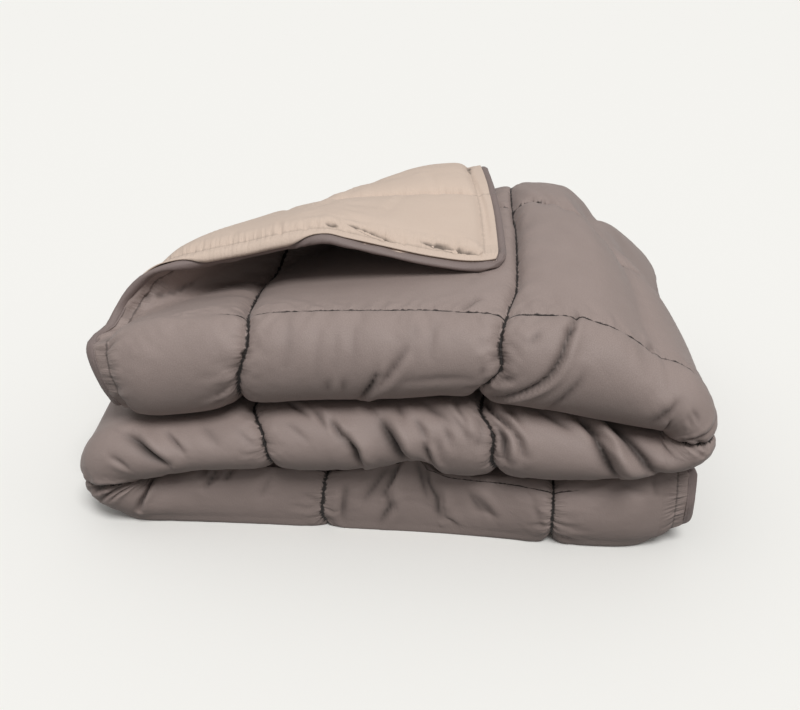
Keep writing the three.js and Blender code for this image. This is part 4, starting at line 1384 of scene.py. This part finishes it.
def sewn_lines(finish, places, seams_shown, hem_shown):
    """How strongly each place lies on a sewn line, its distances to the nearest cross seam and
    long seam, where long seams are sewn at all, and its distance to the hem's seam at an end."""
    flat, along, across = places
    inset_along = along.smaller(LENGTH * MM - along)
    inset_across = across.smaller(WIDTH * MM - across)
    framed = ((inset_along - LONG_SEAM_START * MM) * LONG_LINE_FADE).clipped()
    to_cross = (along - CROSS_SEAMS[0] * MM).to_nearest(BOX * MM)
    to_long = (across - LONG_SEAMS[0] * MM).to_nearest(BOX * MM)
    to_hem = (inset_along.smaller(inset_across) - HEM * MM).size()
    ragged = ((finish.noise(flat, RAGGED_SCALE, 3.0) - RAGGED_FROM) * RAGGED_GAIN).clipped()
    wide = LINE_LEAST + LINE_RAGGED * ragged
    in_front = (2 * near_line((across - FRONT_LINE_V).size(), FRONT_LINE_REACH)).clipped()
    cross_wide = wide * (1 + FRONT_LINE_GAIN * in_front)
    at_back = ((BACK_LINE_V - across) * BACK_LINE_FADE).clipped()
    long_wide = wide * (LONG_LINE_SHARE + BACK_LINE_GAIN * at_back)
    shown = near_line(to_cross, cross_wide).larger(framed * near_line(to_long, long_wide))
    sewn = seams_shown * shown + hem_shown * near_line(to_hem, wide)
    to_end = (inset_along - HEM * MM).size()
    return sewn, to_cross, to_long, framed, to_end


def woven_cloth(name, light, dark, constants, seams_shown, hem_shown):
    """Fine smooth cloth: a close weave, a slight unevenness of colour, sewing lines darkened as thread
    and as painted shade in their slits, painted shade in the depth of creases, gathers and slits, and
    short puckers that run away from them."""
    finish = Finish(name, constants)
    flat, along, across = place_on_cloth(finish)
    mottle = finish.noise(flat, MOTTLE_SCALE, 5.0)
    grain = finish.noise(flat, GRAIN_SCALE, 2.0)
    tone = (MOTTLE_SHARE * mottle + GRAIN_SHARE * grain - TONE_OFFSET).clipped()
    cloth = finish.mix_colours(tone, dark, light)
    places = (flat, along, across)
    sewn, to_cross, to_long, framed, to_end = sewn_lines(finish, places, seams_shown, hem_shown)
    # Sewn lines: thread colour together with painted shade of the seam's slit, nearly black
    on_thread_and_slit_shade = (LINE_GAIN * sewn).clipped()
    cloth = finish.mix_colours(on_thread_and_slit_shade, cloth, darkened(dark, THREAD_AND_SLIT_SHADE))
    # Painted shade: darker in the depth of creases, gathers and slits
    depth = finish.node("ShaderNodeAttribute", {"attribute_name": "sunk"}, {}, 2)
    cloth = finish.mix_colours((PAINTED_SHADE_SHARE * depth).clipped(), cloth, darkened(dark, PAINTED_SHADE_TONE))
    finish.surface("Principled BSDF", {"Base Color": cloth})
    beside_cross = stretched_noise(finish, along * ALONG_SEAM, across * ACROSS_SEAM)
    beside_long = stretched_noise(finish, along * ACROSS_SEAM, across * ALONG_SEAM)
    by_cross = near_line(to_cross, CROSS_PUCKER_REACH) ** 2
    by_long = framed * near_line(to_long, LONG_PUCKER_REACH) ** 2
    at_end = near_line(to_end, HEM_GATHER_REACH)
    pleats = stretched_noise(finish, along * HEM_GATHER_GRAIN[0], across * HEM_GATHER_GRAIN[1])
    threads = stretched_noise(finish, along * THREAD_GRAIN[0], across * THREAD_GRAIN[1])
    slubs = finish.noise(flat, SLUB_SCALE, 4.0)
    height = CROSS_PUCKERS * by_cross * beside_cross + LONG_PUCKERS * by_long * beside_long
    height = height + HEM_GATHERS * at_end * pleats + THREADS * threads + SLUBS * slubs
    bump = finish.node(
        "ShaderNodeBump", {}, {"Height": height, "Strength": BUMP_STRENGTH, "Distance": BUMP_DISTANCE}
    )
    finish.surface("Principled BSDF", {"Normal": bump})
    return finish.material


FACE_FINISH = {
    "Roughness": 0.62,
    "Sheen Weight": 0.12,
    "Sheen Roughness": 0.4,
    "Specular IOR Level": 0.34,
}
REVERSE_FINISH = {
    "Roughness": 0.72,
    "Sheen Weight": 0.1,
    "Sheen Roughness": 0.5,
    "Specular IOR Level": 0.2,
}

face_cloth = woven_cloth(
    "taupe_microfibre", colour(160, 144, 138), colour(142, 127, 121), FACE_FINISH, 0.95, 0.35
)
reverse_cloth = woven_cloth(
    "beige_microfibre", colour(213, 194, 179), colour(203, 183, 167), REVERSE_FINISH, 0.1, 0.12
)
tape_cloth = woven_cloth(
    "taupe_tape", colour(136, 122, 118), colour(122, 108, 104), FACE_FINISH, 0.0, 0.0
)

duvet = make_duvet(face_cloth, reverse_cloth)
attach(duvet, "root")
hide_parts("duvet")

panel, panel_size, panel_area = make_reverse_panel(reverse_cloth)
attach(panel, "root")
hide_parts("reverse_panel")

tape = make_edge_tape(tape_cloth)
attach(tape, "root")
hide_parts("edge_binding")


def make_stage():
    """A pale floor that runs on to the horizon."""
    mesh = bpy.data.meshes.new("floor")
    reach = 40.0
    corners = [(-reach, -reach, 0), (reach, -reach, 0), (reach, reach, 0), (-reach, reach, 0)]
    mesh.from_pydata(corners, [], [(0, 1, 2, 3)])
    pale = {"Base Color": colour(243, 242, 238), "Roughness": 0.9, "Specular IOR Level": 0.1}
    finish = Finish("pale_floor", pale)
    mesh.materials.append(finish.material)
    floor = bpy.data.objects.new("floor", mesh)
    floor.visible_diffuse = False
    bpy.context.scene.collection.objects.link(floor)


SUN_HEIGHT = 56.0
SUN_AZIMUTH = 20.0
SUN_SOFTNESS = 24.0
SUN_STRENGTH = 2.05
# The grey of the sky, as (height from 0 below to 1 above, grey)
SKY = ((0.46, 0.12), (0.54, 0.24), (1.0, 0.62))


def light_scene():
    """A sky that fades towards the ground and one large soft light from the front."""
    world = bpy.data.worlds.new("studio")
    bpy.context.scene.world = world
    world.use_nodes = True
    sky = Nodes(world.node_tree)
    direction = sky.node("ShaderNodeTexCoord")
    height = sky.node("ShaderNodeSeparateXYZ", {}, {0: direction}, 2)
    fade = sky.node("ShaderNodeValToRGB", {"stops": SKY}, {0: height * 0.5 + 0.5})
    sky.surface("Background", {"Color": fade})
    light = bpy.data.lights.new("soft_key", "SUN")
    light.energy = SUN_STRENGTH
    light.angle = math.radians(SUN_SOFTNESS)
    lamp = bpy.data.objects.new("soft_key", light)
    lamp.rotation_euler = (math.radians(90 - SUN_HEIGHT), 0, math.radians(SUN_AZIMUTH))
    bpy.context.scene.collection.objects.link(lamp)
    bpy.context.scene.view_settings.view_transform = "Standard"


LENS = 50.0
SENSOR_WIDTH = 36.0
CAMERA_PLACE = (0.1125, -1.168, 0.650)
CAMERA_DOWN = 25.0
CAMERA_AZIMUTH = 6.0


def make_camera():
    """The camera at the photo's angle, a little right of the middle and above the pile."""
    lens = bpy.data.cameras.new("camera")
    lens.lens = LENS
    lens.sensor_width = SENSOR_WIDTH
    camera = bpy.data.objects.new("camera", lens)
    camera.location = CAMERA_PLACE
    camera.rotation_euler = (math.radians(90 - CAMERA_DOWN), 0, math.radians(CAMERA_AZIMUTH))
    bpy.context.scene.collection.objects.link(camera)
    bpy.context.scene.camera = camera


make_stage()
light_scene()
make_camera()
